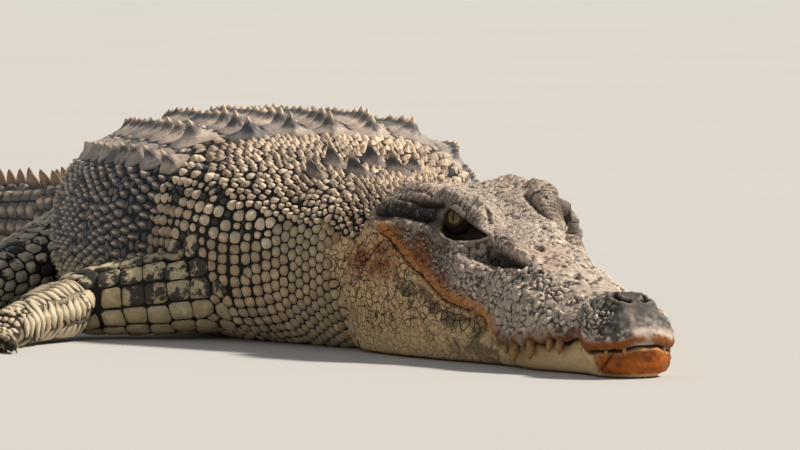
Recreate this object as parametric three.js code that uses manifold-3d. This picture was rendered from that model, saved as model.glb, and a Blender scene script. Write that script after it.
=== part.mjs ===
// A life-size saltwater crocodile lying at rest, its head turned a little to its left.
// Millimetres, +Z up. The trunk runs along Y with the head toward -Y; the animal's left is +X.
// The body is a row of lofts along one bent spine, the head is two lofts that meet at the mouth,
// and each limb is three lofts. Neighbours keep a small gap, so that every part is its own solid.
import * as THREE from 'three';
import { mergeVertices } from 'three/addons/utils/BufferGeometryUtils.js';
import Module from 'manifold-3d';

const wasm = await Module();
wasm.setup();

// ---------------------------------------------------------------- driving dimensions
const headLength = 430; // snout tip to the back of the skull table
const totalLength = 3050; // along the spine, snout tip to tail tip
const gap = 0.3; // left between neighbouring solids

// Which way the spine runs, in degrees from +Y toward -X, at distances back from the snout tip.
const spineTurns = [
  { s: 0, heading: 13 },
  { s: headLength, heading: 13 },
  { s: 500, heading: 22 },
  { s: 600, heading: 21 },
  { s: 730, heading: 0 },
  { s: 1700, heading: 0 },
  { s: 2200, heading: 9 },
  { s: 2600, heading: 14 },
  { s: totalLength, heading: -4 },
];

// Sections of neck, trunk and tail: half width, height of the back, height of the widest level.
const bodySections = [
  { s: 430, half: 104, top: 160, side: 85 },
  { s: 470, half: 112, top: 171, side: 85 },
  { s: 520, half: 121, top: 180, side: 86 },
  { s: 600, half: 134, top: 190, side: 88 },
  { s: 700, half: 178, top: 213, side: 86 },
  { s: 850, half: 222, top: 230, side: 88 },
  { s: 1050, half: 238, top: 230, side: 80 },
  { s: 1250, half: 221, top: 222, side: 76 },
  { s: 1400, half: 176, top: 206, side: 76 },
  { s: 1500, half: 132, top: 184, side: 74 },
  { s: 1650, half: 100, top: 156, side: 66 },
  { s: 1850, half: 78, top: 127, side: 56 },
  { s: 2100, half: 58, top: 102, side: 47 },
  { s: 2400, half: 41, top: 81, side: 38 },
  { s: 2700, half: 26, top: 62, side: 29 },
  { s: 2950, half: 13, top: 44, side: 21 },
  { s: totalLength, half: 4, top: 30, side: 15 },
];
const backSquareness = 2.8; // 2 is an ellipse, more is boxier
const bellySquareness = 2.8;
const bellySink = 9; // how far the round belly would reach below the floor before it is laid flat

const bodyParts = [
  { name: 'neck', from: 433, to: 664, rings: 5, sides: 18 },
  { name: 'trunk_front', from: 664, to: 1020, rings: 6, sides: 16 },
  { name: 'trunk_rear', from: 1020, to: 1430, rings: 6, sides: 16 },
  { name: 'tail_base', from: 1430, to: 1750, rings: 5, sides: 12 },
  { name: 'tail_second', from: 1750, to: 2100, rings: 5, sides: 12 },
  { name: 'tail_third', from: 2100, to: 2450, rings: 5, sides: 10 },
  { name: 'tail_fourth', from: 2450, to: 2760, rings: 5, sides: 8 },
  { name: 'tail_tip', from: 2760, to: totalLength, rings: 5, sides: 8 },
];

// Rows of keeled scutes. `across` is the row's place as a part of the half width, `height` the keel's.
const scuteRows = [
  { from: 742, to: 1430, count: 15, across: 0.1, height: 15, base: 15 },
  { from: 742, to: 1430, count: 15, across: 0.31, height: 16, base: 15 },
  { from: 790, to: 1390, count: 13, across: 0.53, height: 15, base: 14 },
  { from: 1440, to: 1740, count: 7, across: 0.5, height: 19, base: 11 },
  { from: 1760, to: 2090, count: 8, across: 0.46, height: 21, base: 9 },
  { from: 2110, to: 2300, count: 5, across: 0.3, height: 24, base: 7 },
];
const tailCrests = [
  { part: 'tail_third', from: 2304, to: 2440, count: 4, height: 28, base: 6 },
  { part: 'tail_fourth', from: 2460, to: 2750, count: 9, height: 31, base: 5 },
  { part: 'tail_tip', from: 2770, to: 3036, count: 9, height: 27, base: 4 },
];
// The nuchal shield: four tall scutes in a square and one smaller beside it on each side.
const nuchalScutes = [
  { s: 578, across: 27, length: 50, width: 44, height: 24 },
  { s: 626, across: 25, length: 44, width: 40, height: 22 },
  { s: 604, across: 68, length: 40, width: 34, height: 20 },
];

// Skull and upper jaw: the crown on the midline, the edge of the flat top, the cheek and the lip.
const skullSections = [
  { d: 2, crown: 52, tableW: 8, tableZ: 50, cheekW: 14, cheekZ: 45, lipW: 17, lip: 33 },
  { d: 12, crown: 62, tableW: 15, tableZ: 60, cheekW: 26, cheekZ: 51, lipW: 31, lip: 28 },
  { d: 28, crown: 74, tableW: 19, tableZ: 72, cheekW: 34, cheekZ: 58, lipW: 43, lip: 27 },
  { d: 50, crown: 82, tableW: 20, tableZ: 81, cheekW: 37, cheekZ: 60, lipW: 48, lip: 25 },
  { d: 75, crown: 79, tableW: 18, tableZ: 76, cheekW: 32, cheekZ: 59, lipW: 41, lip: 33 },
  { d: 105, crown: 86, tableW: 23, tableZ: 80, cheekW: 41, cheekZ: 62, lipW: 54, lip: 31 },
  { d: 150, crown: 103, tableW: 30, tableZ: 96, cheekW: 53, cheekZ: 72, lipW: 71, lip: 26 },
  { d: 200, crown: 119, tableW: 32, tableZ: 113, cheekW: 52, cheekZ: 84, lipW: 65, lip: 25 },
  { d: 240, crown: 133, tableW: 35, tableZ: 128, cheekW: 58, cheekZ: 95, lipW: 70, lip: 50 },
  { d: 285, crown: 149, tableW: 41, tableZ: 150, cheekW: 68, cheekZ: 118, lipW: 85, lip: 64 },
  { d: 315, crown: 160, tableW: 52, tableZ: 172, cheekW: 72, cheekZ: 134, lipW: 93, lip: 85 },
  { d: 345, crown: 170, tableW: 56, tableZ: 175, cheekW: 82, cheekZ: 145, lipW: 100, lip: 103 },
  { d: 390, crown: 178, tableW: 61, tableZ: 181, cheekW: 90, cheekZ: 158, lipW: 108, lip: 134 },
  { d: 432, crown: 181, tableW: 64, tableZ: 183, cheekW: 92, cheekZ: 160, lipW: 108, lip: 137 },
];
const lipDepth = 10; // from the lip's edge up to the widest level of the upper jaw
const lipTuck = 5;

// Lower jaw: it stays inside the upper lip in front and swells into the jowl behind.
const jawSections = [
  { d: 7, topW: 14, sideW: 19, sideZ: 17, footW: 10 },
  { d: 24, topW: 32, sideW: 35, sideZ: 16, footW: 22 },
  { d: 50, topW: 40, sideW: 42, sideZ: 15, footW: 30 },
  { d: 75, topW: 34, sideW: 38, sideZ: 16, footW: 28 },
  { d: 105, topW: 44, sideW: 47, sideZ: 16, footW: 32 },
  { d: 150, topW: 56, sideW: 60, sideZ: 15, footW: 44 },
  { d: 200, topW: 53, sideW: 58, sideZ: 17, footW: 46 },
  { d: 250, topW: 62, sideW: 71, sideZ: 26, footW: 54 },
  { d: 300, topW: 84, sideW: 93, sideZ: 44, footW: 66 },
  { d: 350, topW: 97, sideW: 108, sideZ: 60, footW: 76 },
  { d: 400, topW: 104, sideW: 117, sideZ: 72, footW: 84 },
  { d: 445, topW: 102, sideW: 121, sideZ: 72, footW: 86 },
  { d: 485, topW: 88, sideW: 113, sideZ: 64, footW: 80 },
  { d: 502, topW: 72, sideW: 98, sideZ: 56, footW: 66 },
];
const jowlDrop = [
  { d: 432, top: 137 },
  { d: 470, top: 118 },
  { d: 502, top: 84 },
];

// Upper teeth that show outside the lower jaw: distance back, length and thickness.
const upperTeeth = [
  { d: 98, length: 12, thick: 7 },
  { d: 110, length: 9, thick: 6 },
  { d: 129, length: 16, thick: 9 },
  { d: 158, length: 20, thick: 10 },
  { d: 182, length: 9, thick: 7 },
  { d: 232, length: 7, thick: 6 },
  { d: 248, length: 7, thick: 6 },
];

const eyeball = { d: 313, across: 57, height: 149, radius: 15 };
const headTilt = 0.07; // how much higher the crown is on the left, as a part of the distance out

// Limbs, as places from the trunk's straight axis: distance back, distance out to the side, height.
const foreLimb = {
  right: {
    shoulder: [668, 100, 60], elbow: [716, 272, 39], wrist: [602, 372, 22], toes: [540, 440, 9],
  },
  left: {
    shoulder: [668, 100, 60], elbow: [764, 262, 39], wrist: [636, 292, 22], toes: [540, 312, 9],
  },
};
const hindLimb = {
  right: {
    hip: [1385, 70, 84], knee: [1215, 282, 33], ankle: [1362, 356, 28], toes: [1240, 440, 9],
  },
  left: {
    hip: [1385, 70, 84], knee: [1255, 280, 33], ankle: [1404, 346, 28], toes: [1290, 440, 9],
  },
};
// Each limb bone's sections: place along it, half width and half depth.
const upperArmShape = [
  { t: 0, wide: 56, deep: 52 },
  { t: 0.45, wide: 50, deep: 47 },
  { t: 0.8, wide: 41, deep: 41 },
  { t: 1, wide: 35, deep: 36 },
];
const forearmShape = [
  { t: 0, wide: 26, deep: 25 },
  { t: 0.3, wide: 36, deep: 31 },
  { t: 0.75, wide: 27, deep: 23 },
  { t: 1, wide: 25, deep: 19 },
];
const thighShape = [
  { t: 0, wide: 84, deep: 62 },
  { t: 0.4, wide: 72, deep: 52 },
  { t: 0.8, wide: 50, deep: 37 },
  { t: 1, wide: 41, deep: 34 },
];
const shankShape = [
  { t: 0, wide: 33, deep: 28 },
  { t: 0.35, wide: 40, deep: 33 },
  { t: 0.8, wide: 30, deep: 27 },
  { t: 1, wide: 28, deep: 25 },
];
const hand = { palm: 52, width: 34, thickness: 13, spread: 104, web: 0, clawed: 3, digits: [42, 52, 56, 50, 38] };
const foot = { palm: 88, width: 40, thickness: 15, spread: 62, web: 0.62, clawed: 3, digits: [74, 90, 92, 78] };
const webLevel = 3;
const webThickness = 4;
const digitRadius = { root: 10, end: 7 };
const digitSides = 5;
const claw = { length: 19, radius: 5 };
const limbSides = 8;

// ---------------------------------------------------------------- colours
const finish = {
  skull: { color: '#b5a48c', roughness: 0.72, metalness: 0 },
  jaw: { color: '#a59a6e', roughness: 0.6, metalness: 0 },
  back: { color: '#8f8165', roughness: 0.7, metalness: 0 },
  tail: { color: '#84785e', roughness: 0.7, metalness: 0 },
  limb: { color: '#c2b48b', roughness: 0.65, metalness: 0 },
  foot: { color: '#a89c7c', roughness: 0.68, metalness: 0 },
  eye: { color: '#8a7a2c', roughness: 0.15, metalness: 0 },
};

// ---------------------------------------------------------------- shared geometry
const radians = THREE.MathUtils.degToRad;

/** The value of one key at a place along a list of sections, on a smooth curve through them. */
function along(sections, axis, key, place) {
  const last = sections.length - 1;
  let i = 0;
  while (i < last - 1 && place > sections[i + 1][axis]) {
    i += 1;
  }
  const a = sections[i];
  const b = sections[i + 1];
  const before = sections[Math.max(i - 1, 0)];
  const after = sections[Math.min(i + 2, last)];
  const span = b[axis] - a[axis];
  const t = THREE.MathUtils.clamp((place - a[axis]) / span, 0, 1);
  const slopeA = i === 0 ? (b[key] - a[key]) / span : (b[key] - before[key]) / (b[axis] - before[axis]);
  const slopeB = i + 1 === last ? (b[key] - a[key]) / span : (after[key] - a[key]) / (after[axis] - a[axis]);
  const t2 = t * t;
  const t3 = t2 * t;
  return (2 * t3 - 3 * t2 + 1) * a[key] + (t3 - 2 * t2 + t) * span * slopeA
    + (3 * t2 - 2 * t3) * b[key] + (t3 - t2) * span * slopeB;
}

/** The spine's places every few millimetres, found by walking along its headings. */
const spineStep = 5;
const spineTrack = [];
for (let s = 0, x = 0, y = 0; s <= totalLength + spineStep; s += spineStep) {
  const heading = radians(along(spineTurns, 's', 'heading', s));
  spineTrack.push({ s, x, y, heading });
  x -= Math.sin(heading) * spineStep;
  y += Math.cos(heading) * spineStep;
}

/** A point given by its distance back along the spine, its distance to the left and its height. */
function fromSpine(s, left, height) {
  const i = THREE.MathUtils.clamp(Math.floor(s / spineStep), 0, spineTrack.length - 2);
  const a = spineTrack[i];
  const b = spineTrack[i + 1];
  const t = (s - a.s) / spineStep;
  const heading = a.heading + (b.heading - a.heading) * t;
  return new THREE.Vector3(
    a.x + (b.x - a.x) * t + Math.cos(heading) * left,
    a.y + (b.y - a.y) * t + Math.sin(heading) * left,
    height,
  );
}

/** A closed solid through rings of points, with a flat fan over each end. */
function loft(rings) {
  const points = rings.flat();
  const sides = rings[0].length;
  const lastRing = (rings.length - 1) * sides;
  const index = [];
  for (let r = 0; r < rings.length - 1; r += 1) {
    for (let k = 0; k < sides; k += 1) {
      const a = r * sides + k;
      const b = r * sides + ((k + 1) % sides);
      index.push(a, b, b + sides, a, b + sides, a + sides);
    }
  }
  const middle = (ring) => ring.reduce((sum, p) => sum.add(p), new THREE.Vector3()).divideScalar(sides);
  const head = points.push(middle(rings[0])) - 1;
  const tail = points.push(middle(rings[rings.length - 1])) - 1;
  for (let k = 0; k < sides; k += 1) {
    const next = (k + 1) % sides;
    index.push(head, next, k, tail, lastRing + k, lastRing + next);
  }
  const geometry = new THREE.BufferGeometry().setFromPoints(points);
  geometry.setIndex(index);
  return facingOut(geometry);
}

/** The stations with the first and last moved outward. */
function stretched(stations, grow) {
  return stations.map((d, i) => d + grow * ((i === stations.length - 1) - (i === 0)));
}

/** Turns every face over where the geometry is inside out. */
function facingOut(geometry) {
  const p = geometry.getAttribute('position');
  const index = geometry.getIndex().array;
  const corner = [new THREE.Vector3(), new THREE.Vector3(), new THREE.Vector3()];
  let volume = 0;
  for (let i = 0; i < index.length; i += 3) {
    corner.forEach((v, k) => v.fromBufferAttribute(p, index[i + k]));
    volume += corner[0].dot(corner[1].clone().cross(corner[2]));
  }
  if (volume < 0) {
    for (let i = 0; i < index.length; i += 3) {
      [index[i + 1], index[i + 2]] = [index[i + 2], index[i + 1]];
    }
  }
  return geometry;
}

function solid(geometry) {
  const bare = geometry.clone();
  bare.deleteAttribute('normal');
  bare.deleteAttribute('uv');
  const merged = mergeVertices(bare, 1e-4);
  return new wasm.Manifold(new wasm.Mesh({
    numProp: 3,
    vertProperties: new Float32Array(merged.getAttribute('position').array),
    triVerts: new Uint32Array(merged.getIndex().array),
  }));
}

function toGeometry(manifold) {
  const mesh = manifold.getMesh();
  const geometry = new THREE.BufferGeometry();
  geometry.setAttribute('position', new THREE.BufferAttribute(new Float32Array(mesh.vertProperties), 3));
  geometry.setIndex(new THREE.BufferAttribute(new Uint32Array(mesh.triVerts), 1));
  return geometry;
}

const join = (solids) => solids.reduce((whole, next) => whole.add(next));
/** What is left of a solid outside its neighbours, without the loose slivers that a cut can leave. */
function carve(whole, cuts) {
  const pieces = cuts.reduce((rest, cut) => rest.subtract(cut), whole).decompose();
  return pieces.reduce((largest, piece) => (piece.volume() > largest.volume() ? piece : largest));
}

const signedPower = (v, power) => Math.sign(v) * Math.abs(v) ** power;
const ontoFloor = (z) => Math.max(z, 0);

// ---------------------------------------------------------------- neck, trunk and tail
function bodySection(s) {
  const value = (key) => along(bodySections, 's', key, s);
  return { half: value('half'), top: value('top'), side: value('side') };
}

/** The height of the back at a distance to the side of the spine. */
function backHeight(s, left) {
  const { half, top, side } = bodySection(s);
  const reach = Math.min(Math.abs(left) / half, 1);
  return side + (top - side) * (1 - reach ** backSquareness) ** (1 / backSquareness);
}

function bodyRing(s, sides, grow = 0) {
  const { half, top, side } = bodySection(s);
  const ring = [];
  for (let k = 0; k < sides; k += 1) {
    const angle = (2 * Math.PI * (k + 0.5)) / sides;
    const upper = Math.sin(angle) > 0;
    const power = 2 / (upper ? backSquareness : bellySquareness);
    const reach = upper ? top - side : side + bellySink;
    const left = (half + grow) * signedPower(Math.cos(angle), power);
    ring.push(fromSpine(s, left, ontoFloor(side + (reach + grow) * signedPower(Math.sin(angle), power))));
  }
  return ring;
}

function bodyLength({ from, to, rings, sides }, grow = 0) {
  const stations = Array.from({ length: rings + 1 }, (_, i) => (
    from + gap / 2 + ((to - from - gap) * i) / rings
  ));
  return solid(loft(stretched(stations, grow).map((s) => bodyRing(s, sides, grow))));
}

/** A row of keels as one ridge, three points round, that dips into the back between the keels. */
function keelRow(row, leftAt) {
  const rings = [];
  const pitch = (row.to - row.from) / row.count;
  const dip = 4;
  const footing = 7;
  const ridge = (s, rise) => {
    const left = leftAt(s);
    const ground = Math.min(backHeight(s, left - row.base), backHeight(s, left + row.base)) - footing;
    rings.push([
      fromSpine(s, left - row.base, ground),
      fromSpine(s, left + row.base, ground),
      fromSpine(s, left, backHeight(s, left) + rise),
    ]);
  };
  for (let i = 0; i < row.count; i += 1) {
    ridge(row.from + pitch * i, -dip);
    ridge(row.from + pitch * (i + 0.72), row.height);
  }
  ridge(row.to, -dip);
  return solid(loft(rings));
}

/** One keeled scute: a roof whose ridge climbs backwards. */
function keeledScute({ s, length, width, height }, left) {
  const footing = 12;
  const ground = Math.min(backHeight(s, left - width / 2), backHeight(s, left + width / 2)) - footing;
  const front = s - length / 2;
  const back = s + length / 2;
  const ridge = (place, rise) => fromSpine(place, left, backHeight(s, left) + rise);
  const wall = (place, top) => [
    fromSpine(place, left - width / 2, ground),
    fromSpine(place, left + width / 2, ground),
    top,
  ];
  return solid(loft([
    wall(front, ridge(front + length * 0.12, height * 0.25)),
    wall(front + length * 0.72, ridge(front + length * 0.72, height)),
    wall(back, ridge(back, height * 0.35)),
  ]));
}

function scutesWithin(from, to) {
  const solids = [];
  for (const row of scuteRows.filter((r) => r.from >= from && r.from < to)) {
    const end = Math.min(row.to, to - 2);
    const pitch = (row.to - row.from) / row.count;
    const count = Math.floor((end - row.from) / pitch);
    for (const side of [-1, 1]) {
      const trimmed = { ...row, count, to: row.from + pitch * count };
      solids.push(keelRow(trimmed, (s) => side * row.across * bodySection(s).half));
    }
  }
  for (const row of scuteRows.filter((r) => r.from < from && r.to > from + 10)) {
    const pitch = (row.to - row.from) / row.count;
    const first = Math.ceil((from + 2 - row.from) / pitch);
    for (const side of [-1, 1]) {
      const trimmed = { ...row, from: row.from + pitch * first, count: row.count - first };
      solids.push(keelRow(trimmed, (s) => side * row.across * bodySection(s).half));
    }
  }
  return solids;
}

function bodyPart(part) {
  const pieces = [bodyLength(part), ...scutesWithin(part.from, part.to)];
  for (const crest of tailCrests.filter((row) => row.part === part.name)) {
    pieces.push(keelRow(crest, () => 0));
  }
  if (part.name === 'neck') {
    for (const scute of nuchalScutes) {
      pieces.push(keeledScute(scute, scute.across), keeledScute(scute, -scute.across));
    }
  }
  return join(pieces);
}

// ---------------------------------------------------------------- head
function mirrored(half) {
  const rest = half.slice(0, -1).reverse().filter(([left]) => left > 0);
  return [...half, ...rest.map(([left, z]) => [-left, z])];
}

/** A point of the head, which leans a little to its right, most at the crown. */
function headPoint(d, left, z) {
  const crown = skullSections[skullSections.length - 1].crown;
  return fromSpine(d, left, z + headTilt * left * (Math.max(z - eyeball.height / 2, 0) / crown));
}

function skullRing(d, grow) {
  const value = (key) => along(skullSections, 'd', key, d);
  const crown = value('crown') + grow;
  const tableW = value('tableW');
  const tableZ = value('tableZ') + grow;
  const cheekW = value('cheekW') + grow;
  const cheekZ = value('cheekZ');
  const lipW = value('lipW') + grow;
  const lip = value('lip') + gap / 2 - grow;
  const half = [
    [0, crown],
    [tableW * 0.55, (crown + tableZ) / 2],
    [tableW + grow, tableZ],
    [tableW * 0.35 + cheekW * 0.65, tableZ * 0.5 + cheekZ * 0.5],
    [cheekW * 0.45 + lipW * 0.55, cheekZ],
    [lipW, lip + lipDepth],
    [lipW - lipTuck, lip],
    [lipW * 0.4, lip],
    [0, lip],
  ];
  return mirrored(half).map(([left, z]) => headPoint(d, left, z));
}

// Both jaws have sections at the same places, so that they follow each other along the mouth.
const mouthStations = [14, 28, 50, 75, 105, 125, 150, 175, 200, 225, 255, 290, 315, 345, 390, 432];
const skullStations = [2, 7, ...mouthStations];
const jawStations = [7, ...mouthStations, 470, 502];

function skullSolid(grow = 0) {
  return solid(loft(stretched(skullStations, grow).map((d) => skullRing(d, grow))));
}

/** The level where the lower jaw ends: at the lip along the mouth, then falling behind it. */
function jawTop(d) {
  return d < jowlDrop[0].d ? along(skullSections, 'd', 'lip', d) : along(jowlDrop, 'd', 'top', d);
}

function jawRing(d, grow) {
  const value = (key) => along(jawSections, 'd', key, d);
  const top = jawTop(d) - gap / 2 + grow;
  const sideW = value('sideW') + grow;
  const sideZ = value('sideZ');
  const footW = value('footW') + grow;
  const half = [
    [0, top],
    [value('topW') * 0.6, top],
    [value('topW'), top],
    [value('topW') * 0.3 + sideW * 0.7, top * 0.55 + sideZ * 0.45],
    [sideW, sideZ],
    [sideW * 0.6 + footW * 0.4, sideZ * 0.22],
    [footW, 0],
    [0, 0],
  ];
  return mirrored(half).map(([left, z]) => headPoint(d, left, z));
}

function jawSolid(grow = 0) {
  return solid(loft(stretched(jawStations, grow).map((d) => jawRing(d, grow))));
}

/** A tooth: a five-sided cone that hangs from the lip and leans outward. */
function tooth({ d, length, thick }, side) {
  const sides = 4;
  const lipW = along(skullSections, 'd', 'lipW', d) - lipTuck / 2;
  const lip = along(skullSections, 'd', 'lip', d);
  const ring = (radius, z, out) => {
    const points = [];
    for (let k = 0; k < sides; k += 1) {
      const angle = (2 * Math.PI * k) / sides;
      points.push(fromSpine(d + radius * Math.cos(angle), side * (lipW + out + radius * Math.sin(angle)), z));
    }
    return points;
  };
  return solid(loft([
    ring(thick * 0.5, lip + 5, 0),
    ring(thick * 0.4, lip - length * 0.45, 1.5),
    ring(0.8, lip - length, 1),
  ]));
}

function eyeSolid(side, grow = 0) {
  const ball = new THREE.IcosahedronGeometry(eyeball.radius + grow, 1);
  const centre = headPoint(eyeball.d, side * eyeball.across, eyeball.height);
  ball.translate(centre.x, centre.y, centre.z);
  return solid(mergeVertices(withoutExtras(ball), 1e-3));
}

function withoutExtras(geometry) {
  geometry.deleteAttribute('normal');
  geometry.deleteAttribute('uv');
  return geometry;
}

// ---------------------------------------------------------------- limbs
const trunkStart = 760; // from here back the trunk is straight
const limbPoint = ([s, out, z], side) => (
  fromSpine(trunkStart, side * out, z).add(new THREE.Vector3(0, s - trunkStart, 0))
);

/** A limb bone with its flesh: oval sections from one joint to the next, with a round end at each. */
function limbBone(from, to, shape, grow = 0) {
  const axis = to.clone().sub(from);
  const length = axis.length();
  axis.normalize();
  const sideways = new THREE.Vector3(0, 0, 1).cross(axis).normalize();
  const upward = axis.clone().cross(sideways).normalize();
  const ring = (t, wide, deep) => {
    const centre = from.clone().addScaledVector(axis, t * length);
    const points = [];
    for (let k = 0; k < limbSides; k += 1) {
      const angle = (2 * Math.PI * (k + 0.5)) / limbSides;
      const p = centre.clone().addScaledVector(sideways, Math.cos(angle) * (wide + grow));
      p.addScaledVector(upward, Math.sin(angle) * (deep + grow));
      p.z = ontoFloor(p.z);
      points.push(p);
    }
    return points;
  };
  const first = shape[0];
  const last = shape[shape.length - 1];
  const rings = [ring((-first.deep * 0.7 - grow) / length, first.wide * 0.55, first.deep * 0.55)];
  for (const place of [0, 0.2, 0.4, 0.6, 0.8, 1]) {
    rings.push(ring(place, along(shape, 't', 'wide', place), along(shape, 't', 'deep', place)));
  }
  rings.push(ring(1 + (last.deep * 0.7 + grow) / length, last.wide * 0.6, last.deep * 0.6));
  return solid(loft(rings));
}

/** A hand or foot: palm, fanned digits, web and claws, lying on the floor. */
function paw(wrist, toes, shape, side, innerSign) {
  const forward = toes.clone().sub(wrist).setZ(0).normalize();
  const across = new THREE.Vector3(-forward.y, forward.x, 0).multiplyScalar(innerSign * side);
  const at = (ahead, out, z) => wrist.clone().setZ(z).addScaledVector(forward, ahead).addScaledVector(across, out);
  const oval = (ahead, halfWidth, halfHeight, centreZ) => {
    const points = [];
    for (let k = 0; k < 8; k += 1) {
      const angle = (2 * Math.PI * (k + 0.5)) / 8;
      points.push(at(ahead, Math.cos(angle) * halfWidth, ontoFloor(centreZ + Math.sin(angle) * halfHeight)));
    }
    return points;
  };
  const pieces = [solid(loft([
    oval(-10, shape.width * 0.62, shape.thickness * 1.35, wrist.z * 0.86),
    oval(shape.palm * 0.4, shape.width * 0.78, shape.thickness, shape.thickness * 0.95),
    oval(shape.palm, shape.width, shape.thickness * 0.8, shape.thickness * 0.72),
    oval(shape.palm + 8, shape.width * 0.8, shape.thickness * 0.4, shape.thickness * 0.6),
  ]))];
  const count = shape.digits.length;
  const webEdge = [];
  shape.digits.forEach((length, i) => {
    const fan = count === 1 ? 0 : i / (count - 1) - 0.5;
    const angle = radians(fan * shape.spread);
    const rootOut = fan * shape.width * 1.5;
    const rootAhead = shape.palm - 6;
    const digit = (t, radius, lift) => {
      const points = [];
      const ahead = rootAhead + Math.cos(angle) * length * t;
      const out = rootOut + Math.sin(angle) * length * t;
      for (let k = 0; k < digitSides; k += 1) {
        const turn = (2 * Math.PI * k) / digitSides + Math.PI / 2;
        const swing = Math.cos(turn) * radius;
        const z = ontoFloor(lift + Math.sin(turn) * radius);
        points.push(at(ahead - Math.sin(angle) * swing, out + Math.cos(angle) * swing, z));
      }
      return points;
    };
    const { root, end } = digitRadius;
    pieces.push(solid(loft([
      digit(0, root, root - 1.5),
      digit(1, end, end - 1.5),
    ])));
    if (i < shape.clawed) {
      const reach = 1 + claw.length / length;
      pieces.push(solid(loft([digit(0.93, claw.radius, end), digit(reach, 0.8, 1.2)])));
    }
    const webReach = length * shape.web;
    webEdge.push([rootAhead + Math.cos(angle) * webReach, rootOut + Math.sin(angle) * webReach]);
  });
  if (shape.web > 0) {
    const outline = [[shape.palm * 0.6, -shape.width * 0.5], ...webEdge, [shape.palm * 0.6, shape.width * 0.5]];
    const sheet = (z) => outline.map(([ahead, out]) => at(ahead, out, z));
    pieces.push(solid(loft([sheet(webLevel), sheet(webLevel + webThickness)])));
  }
  return join(pieces);
}

// ---------------------------------------------------------------- assembly
const crocodile = new THREE.Group();

function place(name, look, manifold) {
  const mesh = new THREE.Mesh(toGeometry(manifold), new THREE.MeshStandardMaterial({ ...look, flatShading: true }));
  mesh.name = name;
  crocodile.add(mesh);
}

const eyeHoles = [eyeSolid(1, gap), eyeSolid(-1, gap)];
const teeth = join(upperTeeth.flatMap((one) => [tooth(one, 1), tooth(one, -1)])).subtract(jawSolid(gap));
place('skull_and_upper_jaw', finish.skull, carve(skullSolid().add(teeth), eyeHoles));
place('lower_jaw', finish.jaw, jawSolid());
place('eye_left', finish.eye, eyeSolid(1));
place('eye_right', finish.eye, eyeSolid(-1));

for (const part of bodyParts) {
  let shape = bodyPart(part);
  if (part.name === 'neck') {
    shape = carve(shape, [skullSolid(gap), jawSolid(gap)]);
  }
  place(part.name, part.name.startsWith('tail') ? finish.tail : finish.back, shape);
}

const trunkAround = join(bodyParts.map((part) => bodyLength(part, gap)));
for (const [word, side] of [['left', 1], ['right', -1]]) {
  const arm = foreLimb[word];
  const [shoulder, elbow, wrist, fingers] = [arm.shoulder, arm.elbow, arm.wrist, arm.toes].map((p) => limbPoint(p, side));
  const handSolid = paw(wrist, fingers, hand, side, 1);
  const upperArm = limbBone(shoulder, elbow, upperArmShape);
  const forearm = limbBone(elbow, wrist, forearmShape);
  const upperArmAround = limbBone(shoulder, elbow, upperArmShape, gap);
  const forearmAround = limbBone(elbow, wrist, forearmShape, gap);
  place(`upper_arm_${word}`, finish.limb, carve(upperArm, [trunkAround]));
  place(`forearm_${word}`, finish.limb, carve(forearm, [trunkAround, upperArmAround]));
  place(`hand_${word}`, finish.foot, carve(handSolid, [forearmAround, upperArmAround, trunkAround]));

  const leg = hindLimb[word];
  const [hip, knee, ankle, toes] = [leg.hip, leg.knee, leg.ankle, leg.toes].map((p) => limbPoint(p, side));
  const thigh = limbBone(hip, knee, thighShape);
  const thighAround = limbBone(hip, knee, thighShape, gap);
  const shank = limbBone(knee, ankle, shankShape);
  const shankAround = limbBone(knee, ankle, shankShape, gap);
  place(`thigh_${word}`, finish.limb, carve(thigh, [trunkAround]));
  place(`shank_${word}`, finish.limb, carve(shank, [trunkAround, thighAround]));
  place(`foot_${word}`, finish.foot, carve(paw(ankle, toes, foot, side, 1), [shankAround, thighAround, trunkAround]));
}

// The origin is under the middle of the whole animal.
const reach = new THREE.Box3().setFromObject(crocodile);
const middle = reach.getCenter(new THREE.Vector3());
crocodile.position.set(-middle.x, -middle.y, -reach.min.z);

export default crocodile;
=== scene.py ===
import math
from itertools import product
from types import SimpleNamespace
import bpy
import bmesh
import numpy as np
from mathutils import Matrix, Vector
from mathutils.bvhtree import BVHTree
from mathutils.kdtree import KDTree


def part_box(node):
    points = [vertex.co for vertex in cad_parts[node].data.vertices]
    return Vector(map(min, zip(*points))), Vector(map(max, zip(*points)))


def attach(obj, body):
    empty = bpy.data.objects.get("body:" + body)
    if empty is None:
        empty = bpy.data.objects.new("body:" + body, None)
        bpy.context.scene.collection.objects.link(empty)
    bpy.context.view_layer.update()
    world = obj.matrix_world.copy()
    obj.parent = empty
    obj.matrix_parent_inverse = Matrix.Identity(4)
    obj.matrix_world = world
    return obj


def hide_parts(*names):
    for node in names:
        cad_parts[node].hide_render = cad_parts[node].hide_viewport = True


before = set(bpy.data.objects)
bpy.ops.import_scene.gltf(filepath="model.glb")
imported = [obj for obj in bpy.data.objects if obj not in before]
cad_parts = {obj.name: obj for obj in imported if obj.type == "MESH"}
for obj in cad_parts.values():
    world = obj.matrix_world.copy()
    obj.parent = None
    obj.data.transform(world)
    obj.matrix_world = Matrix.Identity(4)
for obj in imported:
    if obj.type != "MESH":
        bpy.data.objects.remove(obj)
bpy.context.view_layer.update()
draw = np.random.default_rng(11)
sides = {"left": 1, "right": -1}
up = np.array([0, 0, 1.0])

# The spine: degrees turned from +Y toward -X at distances back from the snout tip.
spinePlan = {
    "length": 3050,
    "step": 5,
    "turns": [(0, 13), (430, 13), (500, 22), (600, 21), (730, 0), (1700, 0), (2200, 9), (2600, 14),
              (3050, -4)],
    "straightFrom": 760,
}
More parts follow.
